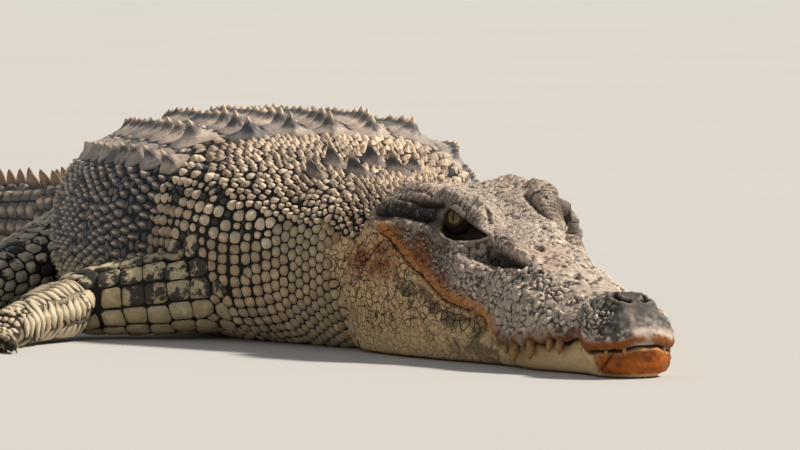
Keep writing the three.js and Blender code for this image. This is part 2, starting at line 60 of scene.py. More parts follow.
# Neck, trunk and tail: distance back, half width, height of the back, height of the widest level.
bodyPlan = {
    "sections": [
        (430, 104, 160, 85), (470, 112, 171, 85), (520, 121, 180, 86), (600, 134, 190, 88),
        (700, 178, 213, 86), (850, 222, 230, 88), (1050, 238, 230, 80), (1250, 221, 222, 76),
        (1400, 176, 206, 76), (1500, 132, 184, 74), (1650, 100, 156, 66), (1850, 78, 127, 56),
        (2100, 58, 102, 47), (2400, 41, 81, 38), (2700, 26, 62, 29), (2950, 13, 44, 21), (3050, 4, 30, 15),
    ],
    "squareness": 2.8,
    "bellySink": 9,
    "coatDepth": 3.0,  # the skin lies this far inside the solids
    "floorLevel": 0.8,
}


def curve(table, place, column=1):
    # a smooth curve through one column of a table, as the frame's own lofts use
    x = np.array([row[0] for row in table], float)
    y = np.array([row[column] for row in table], float)
    place = np.asarray(place, float)
    slope = np.empty(len(x))
    slope[1:-1] = (y[2:] - y[:-2]) / (x[2:] - x[:-2])
    slope[0] = (y[1] - y[0]) / (x[1] - x[0])
    slope[-1] = (y[-1] - y[-2]) / (x[-1] - x[-2])
    i = np.clip(np.searchsorted(x, place, side="left") - 1, 0, len(x) - 2)
    span = x[i + 1] - x[i]
    t = np.clip((place - x[i]) / span, 0, 1)
    a, b = t * t * (3 - 2 * t), t * (1 - t) ** 2
    c = -t * t * (1 - t)
    return y[i] * (1 - a) + y[i + 1] * a + span * (slope[i] * b + slope[i + 1] * c)


def fade(value, start, end):
    # 0 before start, 1 after end, smooth between; start may be the larger one
    t = np.clip((np.asarray(value, float) - start) / (end - start), 0, 1)
    return t * t * (3 - 2 * t)


def hill(value, middle, width):
    return np.exp(-((np.asarray(value, float) - middle) / width) ** 2)


def mix(a, b, t):
    return a + (b - a) * t


trackS = np.arange(0, spinePlan["length"] + 3 * spinePlan["step"], spinePlan["step"], dtype=float)
trackTurn = np.radians(curve(spinePlan["turns"], trackS))
trackX = np.concatenate([[0], -np.cumsum(np.sin(trackTurn[:-1])) * spinePlan["step"]])
trackY = np.concatenate([[0], np.cumsum(np.cos(trackTurn[:-1])) * spinePlan["step"]])


def fromSpine(s, left, z):
    s, left, z = np.broadcast_arrays(np.asarray(s, float), left, z)
    i = np.clip((s / spinePlan["step"]).astype(int), 0, len(trackS) - 2)
    t = s / spinePlan["step"] - i
    turn = mix(trackTurn[i], trackTurn[i + 1], t)
    x = mix(trackX[i], trackX[i + 1], t) + np.cos(turn) * left
    y = mix(trackY[i], trackY[i + 1], t) + np.sin(turn) * left
    return np.stack([x, y, z], -1)


def offSpine(p, s):
    # how far each point lies back and to the left of the spine's place s
    turn = np.interp(s, trackS, trackTurn)
    dx = p[:, 0] - np.interp(s, trackS, trackX)
    dy = p[:, 1] - np.interp(s, trackS, trackY)
    return np.cos(turn) * dy - np.sin(turn) * dx, np.cos(turn) * dx + np.sin(turn) * dy


def toSpine(p):
    # the distance back along the spine and the distance to the left of each point
    s = np.interp(p[:, 1], trackY, trackS)
    for _ in range(4):
        s = s + 0.9 * offSpine(p, s)[0]
    return s, offSpine(p, s)[1]


def unit(v):
    return v / np.linalg.norm(v)


def signedPower(v, power):
    return np.sign(v) * np.abs(v) ** power


# Lattice noise, worked out for whole arrays of points at once.
def lattice(ix, iy, iz, seed):
    # an even random number from 0 to 1 for each whole place
    ix, iy, iz = (v.astype(np.int64) for v in (ix, iy, iz))
    h = (ix * 73856093) ^ (iy * 19349663) ^ (iz * 83492791)
    h = (h ^ (seed * 2654435761)) & 0xFFFFFFFF
    h = ((h ^ (h >> 15)) * 2246822519) & 0xFFFFFFFF
    h = ((h ^ (h >> 13)) * 3266489917) & 0xFFFFFFFF
    return ((h ^ (h >> 16)) & 0xFFFFFF) / float(0xFFFFFF)


def noise(p, size, seed=0):
    # smooth noise from -1 to 1 with features of the given size
    q = np.asarray(p, float) / size
    base = np.floor(q)
    f = q - base
    f = f * f * (3 - 2 * f)
    total = 0
    for corner in product((0, 1), repeat=3):
        wx, wy, wz = (f[:, k] if c else 1 - f[:, k] for k, c in enumerate(corner))
        total = total + wx * wy * wz * lattice(*(base[:, k] + c for k, c in enumerate(corner)), seed)
    return total * 2 - 1


def roughNoise(p, size, layers=3, seed=0):
    total, weight = 0, 0
    for k in range(layers):
        total = total + noise(p, size / 2 ** k, seed + k) / 2 ** k
        weight += 1 / 2 ** k
    return total / weight


def cells(p, size, seed=0, scatter=0.9):
    # distances to the nearest and second nearest scattered seed, in cells, and the nearest one's own number
    q = np.asarray(p, float) / size
    base = np.floor(q)
    near, second, own = np.full(len(q), 9.0), np.full(len(q), 9.0), np.zeros(len(q))
    for step in product((-1, 0, 1), repeat=3):
        cell = [base[:, k] + c for k, c in enumerate(step)]
        d2 = 0
        for axis in range(3):
            spot = cell[axis] + 0.5 + (lattice(*cell, seed * 3 + axis + 1) - 0.5) * scatter
            d2 = d2 + (q[:, axis] - spot) ** 2
        d = np.sqrt(d2)
        closer = d < near
        second = np.where(closer, near, np.minimum(second, d))
        own = np.where(closer, lattice(*cell, seed * 3 + 9), own)
        near = np.where(closer, d, near)
    return near, second, own


def drifted(p, amount, size, seed):
    # points pushed about by three noises, so that lines drawn through them wander
    return p + amount * np.stack([noise(p, size, seed + k) for k in range(3)], 1)


# Head sections, distances back from the snout tip, heights above the floor.
headPlan = {
    # d, crown, half width and height of the flat top's edge, cheek, half width at the lip, height of the lip
    "skull": [
        (2, 52, 8, 50, 14, 45, 17, 33), (12, 62, 15, 60, 26, 51, 31, 28), (28, 74, 19, 72, 34, 58, 43, 27),
        (50, 82, 20, 81, 37, 60, 48, 25), (75, 79, 18, 76, 32, 59, 41, 33), (105, 86, 23, 80, 41, 62, 54, 31),
        (150, 103, 30, 96, 53, 72, 71, 26), (200, 119, 32, 113, 52, 84, 65, 25),
        (240, 133, 35, 128, 58, 95, 70, 50),
        (285, 149, 41, 150, 68, 118, 85, 64), (315, 160, 52, 172, 72, 134, 93, 85),
        (345, 170, 56, 175, 82, 145, 100, 103), (390, 178, 61, 181, 90, 158, 108, 134),
        (432, 181, 64, 183, 92, 160, 108, 137),
    ],
    "lipDepth": 10,
    "lipTuck": 5,
    # d, half width at the top, half width and height of the widest level, half width on the floor
    "jaw": [
        (7, 14, 19, 17, 10), (24, 32, 35, 16, 22), (50, 40, 42, 15, 30), (75, 34, 38, 16, 28),
        (105, 44, 47, 16, 32), (150, 56, 60, 15, 44), (200, 53, 58, 17, 46), (250, 62, 71, 26, 54),
        (300, 84, 93, 44, 66), (350, 97, 108, 60, 76), (400, 104, 117, 72, 84), (445, 102, 121, 72, 86),
        (485, 88, 113, 64, 80), (502, 72, 98, 56, 66),
    ],
    "jowlDrop": [(432, 137), (470, 118), (502, 84)],
    "tilt": 0.07,
    "tiltFrom": 74.5,
    "crown": 181,
}
eyePlan = {"d": 313, "across": 57, "height": 149, "radius": 15}
skullColumns = ("d", "crown", "tableWide", "tableHigh", "cheekWide", "cheekHigh", "lipWide", "lip")
jawColumns = ("d", "topWide", "sideWide", "sideHigh", "footWide")


def skullAt(d, name):
    return curve(headPlan["skull"], d, skullColumns.index(name))


def jawAt(d, name):
    return curve(headPlan["jaw"], d, jawColumns.index(name))


def headPoint(d, left, z):
    lift = headPlan["tilt"] * left * np.maximum(z - headPlan["tiltFrom"], 0) / headPlan["crown"]
    return fromSpine(d, left, z + lift)


def levelHead(left, z):
    # the height a point of the head would have without its lean
    k = headPlan["tilt"] * left / headPlan["crown"]
    return np.where(z > headPlan["tiltFrom"], (z + headPlan["tiltFrom"] * k) / (1 + k), z)


def nodeMiddle(name):
    low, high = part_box(name)
    return (np.array(low) + np.array(high)) * 500


eyeMiddle = {side: headPoint(eyePlan["d"], side * eyePlan["across"], eyePlan["height"]) for side in (1, -1)}
shift = (nodeMiddle("eye_left") - eyeMiddle[1] + nodeMiddle("eye_right") - eyeMiddle[-1]) / 2
print("shift from the spine's start, mm:", np.round(shift, 2))


def toWorld(p):
    return (np.asarray(p, float) + shift) / 1000


def bodySection(s):
    return [curve(bodyPlan["sections"], s, column) for column in (1, 2, 3)]


def ringAngles(count):
    return 2 * np.pi * (np.arange(count) + 0.5) / count


def bodyOutline(s, angle):
    # left and height of the skin round the body
    half, top, side = bodySection(s)
    inset, power = bodyPlan["coatDepth"], 2 / bodyPlan["squareness"]
    rise = np.where(np.sin(angle) > 0, top - side - inset, side + bodyPlan["bellySink"])
    left = np.maximum(half - inset, 1) * signedPower(np.cos(angle), power)
    return left, np.maximum(side + rise * signedPower(np.sin(angle), power), bodyPlan["floorLevel"])


def bodyRings(stations, count):
    s = np.asarray(stations, float)[:, None]
    return fromSpine(s, *bodyOutline(s, ringAngles(count)[None, :]))


def roundedOutline(corners, count):
    # a closed smooth line through the corners of each ring: (rings, corners, 2) to (rings, count, 2)
    k = corners.shape[1]
    t = np.arange(count) * k / count
    i = t.astype(int)
    f = (t - i)[None, :, None]
    a, b, c, d = (corners[:, (i + n) % k] for n in (-1, 0, 1, 2))
    return 0.5 * (2 * b + (c - a) * f + (2 * a - 5 * b + 4 * c - d) * f ** 2
                  + (3 * b - a - 3 * c + d) * f ** 3)


def headRings(stations, corners, count):
    # corners: one side's (half width, height) pairs from the top to the bottom
    half = np.stack([np.stack(np.broadcast_arrays(w, z), -1) for w, z in corners], 1)
    other = half[:, -2:0:-1] * np.array([-1, 1])
    outline = roundedOutline(np.concatenate([half, other], 1), count)
    d = np.asarray(stations, float)[:, None]
    return headPoint(d, outline[..., 0], np.maximum(outline[..., 1], bodyPlan["floorLevel"]))


def skullRings(stations, count=96):
    d = np.asarray(stations, float)
    crown, tableW, tableZ, cheekW, cheekZ, lipW, lip = (skullAt(d, name) for name in skullColumns[1:])
    deep = headPlan["lipDepth"]
    return headRings(d, [
        (d * 0, crown), (tableW * 0.55, (crown + tableZ) / 2), (tableW, tableZ),
        (tableW * 0.35 + cheekW * 0.65, tableZ * 0.5 + cheekZ * 0.5), (cheekW * 0.45 + lipW * 0.55, cheekZ),
        (lipW, lip + deep), (lipW - headPlan["lipTuck"], lip - 1), (lipW * 0.4, lip - 8), (d * 0, lip - 8),
    ], count)


def jawTop(d):
    return np.where(d < headPlan["jowlDrop"][0][0], skullAt(d, "lip"), curve(headPlan["jowlDrop"], d))


def jawRings(stations, count=80):
    d = np.asarray(stations, float)
    topW, sideW, sideZ, footW = (jawAt(d, name) for name in jawColumns[1:])
    top = jawTop(d)
    return headRings(d, [
        (d * 0, top), (topW * 0.6, top), (topW, top), (topW * 0.3 + sideW * 0.7, top * 0.55 + sideZ * 0.45),
        (sideW, sideZ), (sideW * 0.6 + footW * 0.4, sideZ * 0.22), (footW, d * 0), (d * 0, d * 0),
    ], count)


# Limbs as places from the trunk's straight axis: distance back, distance out, height.
limbPlan = {
    "fore": {
        "right": [(668, 100, 60), (716, 272, 39), (602, 372, 22), (540, 440, 9)],
        "left": [(668, 100, 60), (764, 262, 39), (636, 292, 22), (540, 312, 9)],
    },
    "hind": {
        "right": [(1385, 70, 84), (1215, 282, 33), (1362, 356, 28), (1240, 440, 9)],
        "left": [(1385, 70, 84), (1255, 280, 33), (1404, 346, 28), (1290, 440, 9)],
    },
    # place along the bone, half width, half depth
    "upper": {"fore": [(0, 56, 52), (0.45, 50, 47), (0.8, 41, 41), (1, 35, 36)],
              "hind": [(0, 84, 62), (0.4, 72, 52), (0.8, 50, 37), (1, 41, 34)]},
    "lower": {"fore": [(0, 26, 25), (0.3, 36, 31), (0.75, 27, 23), (1, 25, 19)],
              "hind": [(0, 33, 28), (0.35, 40, 33), (0.8, 30, 27), (1, 28, 25)]},
    "roundEnds": [(0.35, 0.93), (0.62, 0.74), (0.8, 0.45)],  # reach past the bone and share of its size
    "inset": 2.5,
}
pawPlan = {
    "fore": {"palm": 52, "width": 34, "thickness": 13, "spread": 104, "web": 0,
             "digits": [42, 52, 56, 50, 38]},
    "hind": {"palm": 88, "width": 40, "thickness": 15, "spread": 62, "web": 0.62, "digits": [74, 90, 92, 78]},
    "clawed": 3,
    "root": 9.5,
    "end": 7,
    "webLevel": 6,
    "webThickness": 5,
}


def limbPoint(place, side):
    s, out, z = place
    start = spinePlan["straightFrom"]
    return fromSpine(start, side * out, z) + np.array([0, s - start, 0])


def allLimbs():
    # kind, side and joints of each limb: shoulder or hip, elbow or knee, wrist or ankle, and toes
    return [(kind, side, [limbPoint(place, side) for place in limbPlan[kind][word]])
            for kind in ("fore", "hind") for word, side in sides.items()]


def boneAxes(start, end):
    length = np.linalg.norm(end - start)
    axis = (end - start) / length
    across = unit(np.cross([0, 0, 1], axis))
    return length, axis, across, np.cross(axis, across)


def boneRings(start, end, shape, count=28):
    length, axis, across, upward = boneAxes(start, end)
    inset = limbPlan["inset"]
    rings = [(t * length, curve(shape, t, 1) - inset, curve(shape, t, 2) - inset)
             for t in np.linspace(0, 1, 17)]
    first, last = shape[0], shape[-1]
    for away, shrink in limbPlan["roundEnds"]:
        rings.insert(0, (-away * first[2], (first[1] - inset) * shrink, (first[2] - inset) * shrink))
        rings.append((length + away * last[2], (last[1] - inset) * shrink, (last[2] - inset) * shrink))
    angle = ringAngles(count)[:, None]
    points = np.array([start + axis * ahead + across * np.cos(angle) * wide + upward * np.sin(angle) * deep
                       for ahead, wide, deep in rings])
    points[..., 2] = np.maximum(points[..., 2], bodyPlan["floorLevel"])
    return points


class Paw:
    # a hand or foot on the floor; its places are ahead of the wrist, out to the side and up
    def __init__(self, kind, side, joints):
        self.shape = pawPlan[kind]
        self.wrist, toes = joints[2:]
        self.forward = unit((toes - self.wrist) * np.array([1, 1, 0]))
        self.across = np.array([-self.forward[1], self.forward[0], 0]) * side
        middle = (len(self.shape["digits"]) - 1) / 2
        self.digits = []
        for i, length in enumerate(self.shape["digits"]):
            fan = (i - middle) / (2 * middle)
            self.digits.append((length, fan * self.shape["width"] * 1.5,
                                math.radians(fan * self.shape["spread"])))

    def at(self, ahead, out, z):
        ahead, out, z = np.broadcast_arrays(np.asarray(ahead, float), out, z)
        base = np.array([self.wrist[0], self.wrist[1], 0])
        return base + self.forward * ahead[..., None] + self.across * out[..., None] + up * z[..., None]

    def flat(self, digit, along, swing=0.0):
        # ahead and out of a place along a digit and swung off to its side
        length, out, turn = digit
        return (self.shape["palm"] - 6 + math.cos(turn) * along - math.sin(turn) * swing,
                out + math.sin(turn) * along + math.cos(turn) * swing)

    def palmRings(self, angle):
        thick = self.shape["thickness"]
        # place along the palm, width and depth as shares of the palm's own, height of the middle
        rings = [(-14 / self.shape["palm"], 0.5, 1.2, self.wrist[2] * 0.9),
                 (0, 0.64, 1.3, self.wrist[2] * 0.82),
                 (0.4, 0.78, 1, thick * 0.95), (0.75, 0.93, 0.9, thick * 0.8),
                 (1, 1, 0.75, thick * 0.72), (1.1, 0.84, 0.45, thick * 0.55)]
        return [self.at(t * self.shape["palm"], np.cos(angle) * self.shape["width"] * wide,
                        np.maximum(level + np.sin(angle) * thick * deep, bodyPlan["floorLevel"]))
                for t, wide, deep, level in rings]

    def digitRings(self, digit, angle):
        rings = []
        for t in np.linspace(-0.1, 1, 15):
            knuckle = 1 + 0.1 * math.cos(t * 3 * 2 * math.pi)
            radius = mix(pawPlan["root"], pawPlan["end"], t) * knuckle * (1 if t < 0.93 else 0.7)
            arch = radius * 0.85 + 4 * math.sin(max(t, 0) * math.pi)
            z = np.maximum(arch + np.sin(angle) * radius * 0.92, bodyPlan["floorLevel"])
            rings.append(self.at(*self.flat(digit, digit[0] * t, np.cos(angle) * radius), z))
        return rings

    def webRings(self):
        # a thin sheet between the toes, whose edge curves in between them
        ends = [self.flat(digit, digit[0] * self.shape["web"]) for digit in self.digits]
        heel, half = self.shape["palm"] * 0.6, self.shape["width"] * 0.5
        outline = [(heel, -half)]
        for (a, b), (c, d) in zip(ends, ends[1:]):
            outline += [(a, b), ((a + c) * 0.48, (b + d) * 0.48)]
        edge = np.array(outline + [ends[-1], (heel, half)])
        return [self.at(edge[:, 0], edge[:, 1], pawPlan["webLevel"] + step * pawPlan["webThickness"])
                for step in (-0.5, 0.5)]

    def shells(self):
        angle = ringAngles(20)
        shells = [self.palmRings(angle)] + [self.digitRings(digit, angle) for digit in self.digits]
        if self.shape["web"]:
            shells.append(self.webRings())
        return [np.array(rings) for rings in shells]


def shellMesh(rings):
    # a closed mesh through rings of points, with a fan over each end
    count, around = rings.shape[:2]
    points = np.concatenate([rings.reshape(-1, 3), rings[:1].mean(1), rings[-1:].mean(1)])
    k = np.arange(around)
    after = (k + 1) % around
    faces = []
    for start in range(0, (count - 1) * around, around):
        faces += np.stack([start + k, start + after, start + around + after, start + around + k], 1).tolist()
    first, end = count * around, (count - 1) * around
    faces += np.stack([np.full(around, first), after, k], 1).tolist()
    faces += np.stack([np.full(around, first + 1), end + k, end + after], 1).tolist()
    # outward faces: the volume has to be positive
    tri = np.array([f[:3] for f in faces])
    p = points - points.mean(0)
    volume = np.einsum("ij,ij->i", p[tri[:, 0]], np.cross(p[tri[:, 1]], p[tri[:, 2]])).sum()
    return points, faces if volume > 0 else [f[::-1] for f in faces]


def joined(shells):
    points, faces, start = [], [], 0
    for p, f in shells:
        points.append(p)
        faces += [[v + start for v in face] for face in f]
        start += len(p)
    return np.concatenate(points), faces


def linked(name, data):
    made = bpy.data.objects.new(name, data)
    bpy.context.scene.collection.objects.link(made)
    return made


def makeObject(name, points, faces):
    mesh = bpy.data.meshes.new(name)
    mesh.from_pydata(toWorld(points).tolist(), [], faces)
    mesh.update()
    return linked(name, mesh)


def readOut(items, key, width, kind=np.float32):
    # one value of every item of a mesh, as rows
    values = np.empty(len(items) * width, kind)
    items.foreach_get(key, values)
    return values.reshape(-1, width)


def localPoints(mesh):
    return readOut(mesh.vertices, "co", 3).astype(float) * 1000 - shift


def setLocalPoints(mesh, p):
    mesh.vertices.foreach_set("co", toWorld(p).astype(np.float32).ravel())
    mesh.update()


def meshNormals(mesh):
    return readOut(mesh.vertex_normals, "vector", 3).astype(float)


def meshEdges(mesh):
    return readOut(mesh.edges, "vertices", 2, np.int32)


def smoothed(p, edges, weight, rounds, back=0.0):
    # each point moves toward the middle of its neighbours; a backward step keeps the volume
    count = len(p)
    ends = np.concatenate([edges[:, 0], edges[:, 1]])
    others = np.concatenate([edges[:, 1], edges[:, 0]])
    degree = np.maximum(np.bincount(ends, minlength=count), 1)[:, None]
    for _ in range(rounds):
        for step in ((0.5, -back) if back else (0.5,)):
            middle = np.stack([np.bincount(ends, p[others, k], count) for k in range(3)], 1) / degree
            p = p + (middle - p) * step * weight[:, None]
    return p


skinPlan = {
    "voxel": 0.005, "headEnd": 512, "headHalf": 150, "headCuts": 3, "eyeCuts": 1, "eyeReach": 36,
    "skullStations": np.concatenate([[1.5, 3, 6, 9], np.arange(12, 433, 4)]),
    "jawStations": np.concatenate([[7, 9, 12], np.arange(15, 503, 4)]),
    "bodyStations": np.concatenate([np.arange(405, 3040, 8), [3046]]),
}


def buildSkin():
    shells = [skullRings(skinPlan["skullStations"]), jawRings(skinPlan["jawStations"]),
              bodyRings(skinPlan["bodyStations"], 120)]
    for kind, side, joints in allLimbs():
        shells.append(boneRings(joints[0], joints[1], limbPlan["upper"][kind]))
        shells.append(boneRings(joints[1], joints[2], limbPlan["lower"][kind]))
        shells += Paw(kind, side, joints).shells()
    rough = makeObject("skin", *joined([shellMesh(rings) for rings in shells]))
    remesh = rough.modifiers.new("remesh", "REMESH")
    remesh.mode = "VOXEL"
    remesh.voxel_size = skinPlan["voxel"]
    made = bpy.data.meshes.new_from_object(rough.evaluated_get(bpy.context.evaluated_depsgraph_get()))
    rough.modifiers.clear()
    rough.data = made
    print("skin after remesh:", len(made.vertices), "points")
    return rough


skin = buildSkin()


def pawNearness(p):
    # 1 on the hands and feet, whose digits are thin, 0 elsewhere
    near = np.zeros(len(p))
    for kind, side, joints in allLimbs():
        middle = (joints[2] + joints[3]) / 2
        near = np.maximum(near, fade(np.linalg.norm(p - middle, axis=1), 120, 80))
    return near


def cutFiner(mesh, inside, cuts):
    # every edge between chosen points is cut
    bm = bmesh.new()
    bm.from_mesh(mesh)
    bm.verts.ensure_lookup_table()
    edges = [e for e in bm.edges if inside[e.verts[0].index] and inside[e.verts[1].index]]
    bmesh.ops.subdivide_edges(bm, edges=edges, cuts=cuts, use_grid_fill=True)
    bm.to_mesh(mesh)
    bm.free()
    mesh.update()


def refineSkin():
    mesh = skin.data
    p = localPoints(mesh)
    p = smoothed(p, meshEdges(mesh), 1 - 0.75 * pawNearness(p), 14, back=0.49)
    setLocalPoints(mesh, p)
    p = localPoints(mesh)
    s, left = toSpine(p)
    cutFiner(mesh, (s < skinPlan["headEnd"]) & (np.abs(left) < skinPlan["headHalf"]), skinPlan["headCuts"])
    p = localPoints(mesh)
    byEye = [np.linalg.norm(p - middle, axis=1) < skinPlan["eyeReach"] for middle in eyeMiddle.values()]
    cutFiner(mesh, byEye[0] | byEye[1], skinPlan["eyeCuts"])
    p = localPoints(mesh)
    fine = fade(toSpine(p)[0], skinPlan["headEnd"], skinPlan["headEnd"] - 12)
    setLocalPoints(mesh, smoothed(p, meshEdges(mesh), fine, 10, back=0.48))
    print("skin after refining:", len(mesh.vertices), "points,", len(mesh.polygons), "faces")


refineSkin()

# The head's relief, in millimetres.
reliefPlan = {
    "lipGroove": 4.5, "lipRoll": 2.4, "lipWave": 1.9, "lipWavePitch": 25,
    "notchAt": 77, "notchDepth": 5.0, "dropAt": 204, "dropLean": 0.25,
    "ridgeHeight": 10, "ridgeHollow": 20,
    "browHeight": 7.5, "lidHeight": 4.5, "lidAt": (311, 44, 30, 13), "furrowDepth": 4.5, "cheekHeight": 6,
    "grooves": {"lidCrease": (2.6, 2.6), "temple": (10, 6.5), "earSlit": (6.5, 3.2),
                "jowlFold": (4.0, 5), "chinFold": (3.4, 2.2)},  # depth and half width
    "tableEdge": 2.5, "tableHollow": 4.5, "foreheadHollow": 4.0, "earHollow": 4.0,
    "nasalHeight": 3.4, "nostrilDepth": 5.5, "foldDepth": 3.4, "snoutPitDepth": 4.6,
    "knobSize": 8.6, "knobHeight": 3.6, "pitSize": 17, "pitDepth": 3.4,
    "crackSize": 9.0, "crackDepth": 0.55,
}
# Lines on the head as (distance back, distance out, height), each mirrored to both sides.
headLines = {
    "brow": [(350, 51, 177), (330, 58, 174), (311, 62, 169), (294, 60, 159), (280, 56, 148), (268, 52, 139)],
    "browRidge": [(270, 50, 143), (252, 47, 135), (232, 43, 128), (210, 37, 121), (186, 31, 112)],
    "browHollow": [(266, 0, 123), (251, 0, 119), (236, 0, 114), (218, 0, 110), (198, 0, 106)],
    "lidFurrow": [(334, 31, 171), (314, 27, 164), (294, 29, 156), (280, 35, 149)],
    "earSlit": [(340, 66, 165), (360, 72, 166), (385, 77, 168), (405, 81, 168)],
    "nostril": [(49, 13, 82), (42, 17, 80), (34, 15, 76), (30, 8, 74)],
    "mouthFoldA": [(392, 107, 131), (408, 110, 132), (428, 114, 124), (450, 118, 106), (468, 120, 84),
                   (478, 118, 60)],
    "mouthFoldB": [(388, 108, 124), (402, 111, 116), (418, 116, 103), (436, 119, 86), (450, 120, 66)],
    "mouthFoldC": [(396, 108, 136), (420, 111, 140), (446, 116, 128), (470, 119, 106), (486, 118, 84)],
    "cheekRidge": [(410, 112, 134), (388, 106, 141), (358, 96, 146), (334, 87, 141), (314, 79, 132),
                   (298, 73, 124)],
    "temple": [(418, 102, 157), (388, 96, 158), (356, 87, 157), (336, 79, 152)],
    "lidCrease": [(338, 64, 164), (320, 70, 163), (303, 69, 158), (289, 63, 150)],
    "jowlFold": [(512, 104, 110), (503, 116, 86), (487, 114, 54), (462, 104, 26), (440, 92, 6)],
    "chinFold": [(17, 31, 30), (21, 34, 21), (28, 37, 12), (38, 38, 4)],
}
# Single pits on top of the snout: distance back, distance to the left.
snoutPits = [(243, 14), (222, 8), (226, 25), (233, -2), (197, -29), (306, -4), (297, 3), (194, -6), (262, 17),
             (213, -12), (180, 12), (152, 13), (246, 33), (166, 22), (140, -9), (128, 7), (186, -21),
             (272, -16)]


def lipLevel(d):
    wave = reliefPlan["lipWave"] * np.sin(2 * np.pi * d / reliefPlan["lipWavePitch"])
    return skullAt(d, "lip") + wave * fade(d, 70, 90) * fade(d, 260, 230)


def headPlaces(p):
    # each point's distance back, to the left and out to either side, its height and height above the lip
    d, left = toSpine(p)
    z = levelHead(left, p[:, 2])
    return SimpleNamespace(p=p, d=d, left=left, out=np.abs(left), z=z, t=z - lipLevel(d))


def nearLine(at, name, level=False):
    # the distance from one of the head's bent lines; a level one lies straight out to the side
    best = np.full(len(at.d), 1e6)
    p = np.stack([at.d, 0 * at.out if level else at.out, at.z], 1)
    line = np.array(headLines[name], float)
    for a, b in zip(line, line[1:]):
        t = np.clip((p - a) @ (b - a) / ((b - a) @ (b - a)), 0, 1)
        best = np.minimum(best, np.linalg.norm(p - a - t[:, None] * (b - a), axis=1))
    return best


def ovalFrom(at, middle, size, across):
    # 0 in the middle of an oval seen from above, 1 on its edge
    return ((at.d - middle[0]) / size[0]) ** 2 + ((across - middle[1]) / size[1]) ** 2


def sideOfMouth(at):
    # 1 on the outer sides of the jaws, 0 on the palate side and behind the mouth's corner
    wide = skullAt(at.d, "lipWide")
    return np.maximum(fade(at.out, wide * 0.5, wide * 0.7), fade(at.d, 14, 9)) * fade(at.d, 400, 388)


def roughZone(at):
    # where the hide is knobbly: the sides of the snout, less on its flat top and on the skull table
    d, out, z = at.d, at.out, at.z
    crown, lip, edge = (skullAt(d, name) for name in ("crown", "lip", "tableWide"))
    above = fade(z, lip + 9, lip + 20)
    side = fade(out, edge * 0.75, edge * 1.15) * fade(d, 292, 262) * fade(d, 14, 34)
    top = 0.34 * (1 - fade(out, edge * 0.75, edge * 1.15)) * fade(d, 70, 95)
    table = 0.38 * fade(d, 325, 350) * fade(z, crown - 26, crown - 14)
    cheek = 0.35 * fade(d, 262, 300) * fade(z, crown - 26, crown - 50)
    return above * np.maximum.reduce([side, top, table, cheek]) * fade(d, 440, 428)


def mouthRelief(at):
    # a groove between the jaws, a rolled lip, and a drop behind the big teeth with a crease before it
    plan, d, t, z = reliefPlan, at.d, at.t, at.z
    lip = -plan["lipGroove"] * hill(t, 0, 1.7) + plan["lipRoll"] * hill(t, 8, 6) + 1.4 * hill(t, -7, 5)
    behind = d + plan["dropLean"] * (z - 30) - plan["dropAt"]
    crease = 2.6 * hill(behind, 0, 2.4) * fade(z, 74, 62) * fade(z, 22, 30)
    drop = 2.2 * hill(behind, 8, 5) * fade(z, 72, 60) * fade(z, 26, 34)
    notch = hill(d, plan["notchAt"], 5.5) * fade(t, 34, 8) * fade(t, -16, -6) * fade(at.out, 18, 30)
    return sideOfMouth(at) * (lip - crease + drop) - plan["notchDepth"] * notch


def ridgeRelief(at):
    # ridges from the brows down the snout, each with a hollow below it
    ridge = (reliefPlan["ridgeHeight"] * (1 + 0.5 * noise(at.p, 13, 33))
             * hill(nearLine(at, "browRidge"), 0, 6.5))
    wide = 3.2 + 6.5 * fade(at.d, 208, 250)
    hollow = (reliefPlan["ridgeHollow"] * hill(nearLine(at, "browHollow", True), 0, wide)
              * fade(at.out, 26, 34))
    return fade(at.d, 178, 212) * (ridge - hollow)


def lidRelief(at):
    # heavy wrinkled lids over the eyes
    plan = reliefPlan
    stripes = np.sin(at.d * 1.15 + at.out * 0.35 + 2.4 * noise(at.p, 16, 31))
    lid = ovalFrom(at, plan["lidAt"][:2], plan["lidAt"][2:], at.out)
    return ((plan["browHeight"] + 0.9 * stripes) * hill(nearLine(at, "brow"), 0, 6.5)
            + (plan["lidHeight"] + 1.0 * stripes) * fade(lid, 1.35, 0.3) * fade(at.up, 0.15, 0.55)
            - plan["furrowDepth"] * (1 + 0.4 * stripes) * hill(nearLine(at, "lidFurrow"), 0, 3))


def grooveRelief(at):
    return -sum(depth * hill(nearLine(at, name), 0, wide)
                for name, (depth, wide) in reliefPlan["grooves"].items())


def snoutPitRelief(at):
    pits = sum(np.exp(-((at.d - d) ** 2 + (at.left - left) ** 2) / 15.0) for d, left in snoutPits)
    return -reliefPlan["snoutPitDepth"] * pits * fade(at.up, 0.3, 0.6)


def tableRelief(at):
    # the skull table is hollow between raised edges, and a long hollow lies under each edge
    plan, d, z, wide = reliefPlan, at.d, at.z, skullAt(at.d, "tableWide")
    top = fade(at.up, 0.45, 0.8)
    table = (plan["tableEdge"] * hill(at.out, wide * 0.92, 9)
             - plan["tableHollow"] * hill(at.left, 0, wide * 0.5))
    forehead = fade(d, 262, 290) * fade(d, 340, 322) * hill(at.left, 0, 22)
    under = (fade(d, 330, 350) * fade(d, 428, 405) * fade(z, 142, 150) * fade(z, 170, 163)
             * fade(at.out, 58, 68))
    return (fade(d, 318, 340) * fade(d, 436, 424) * top * table
            - plan["foreheadHollow"] * forehead * top - plan["earHollow"] * under)


def noseRelief(at):
    # the nose pad with its two slits
    pad = ovalFrom(at, (40, 0), (19, 27), at.left)
    slit = nearLine(at, "nostril")
    return (reliefPlan["nasalHeight"] * fade(pad, 1.5, 0.5) * fade(at.up, 0.1, 0.5)
            + (0.8 * hill(slit, 5.5, 2.5) - reliefPlan["nostrilDepth"] * hill(slit, 0, 2.6))
            * fade(at.up, 0.0, 0.4))


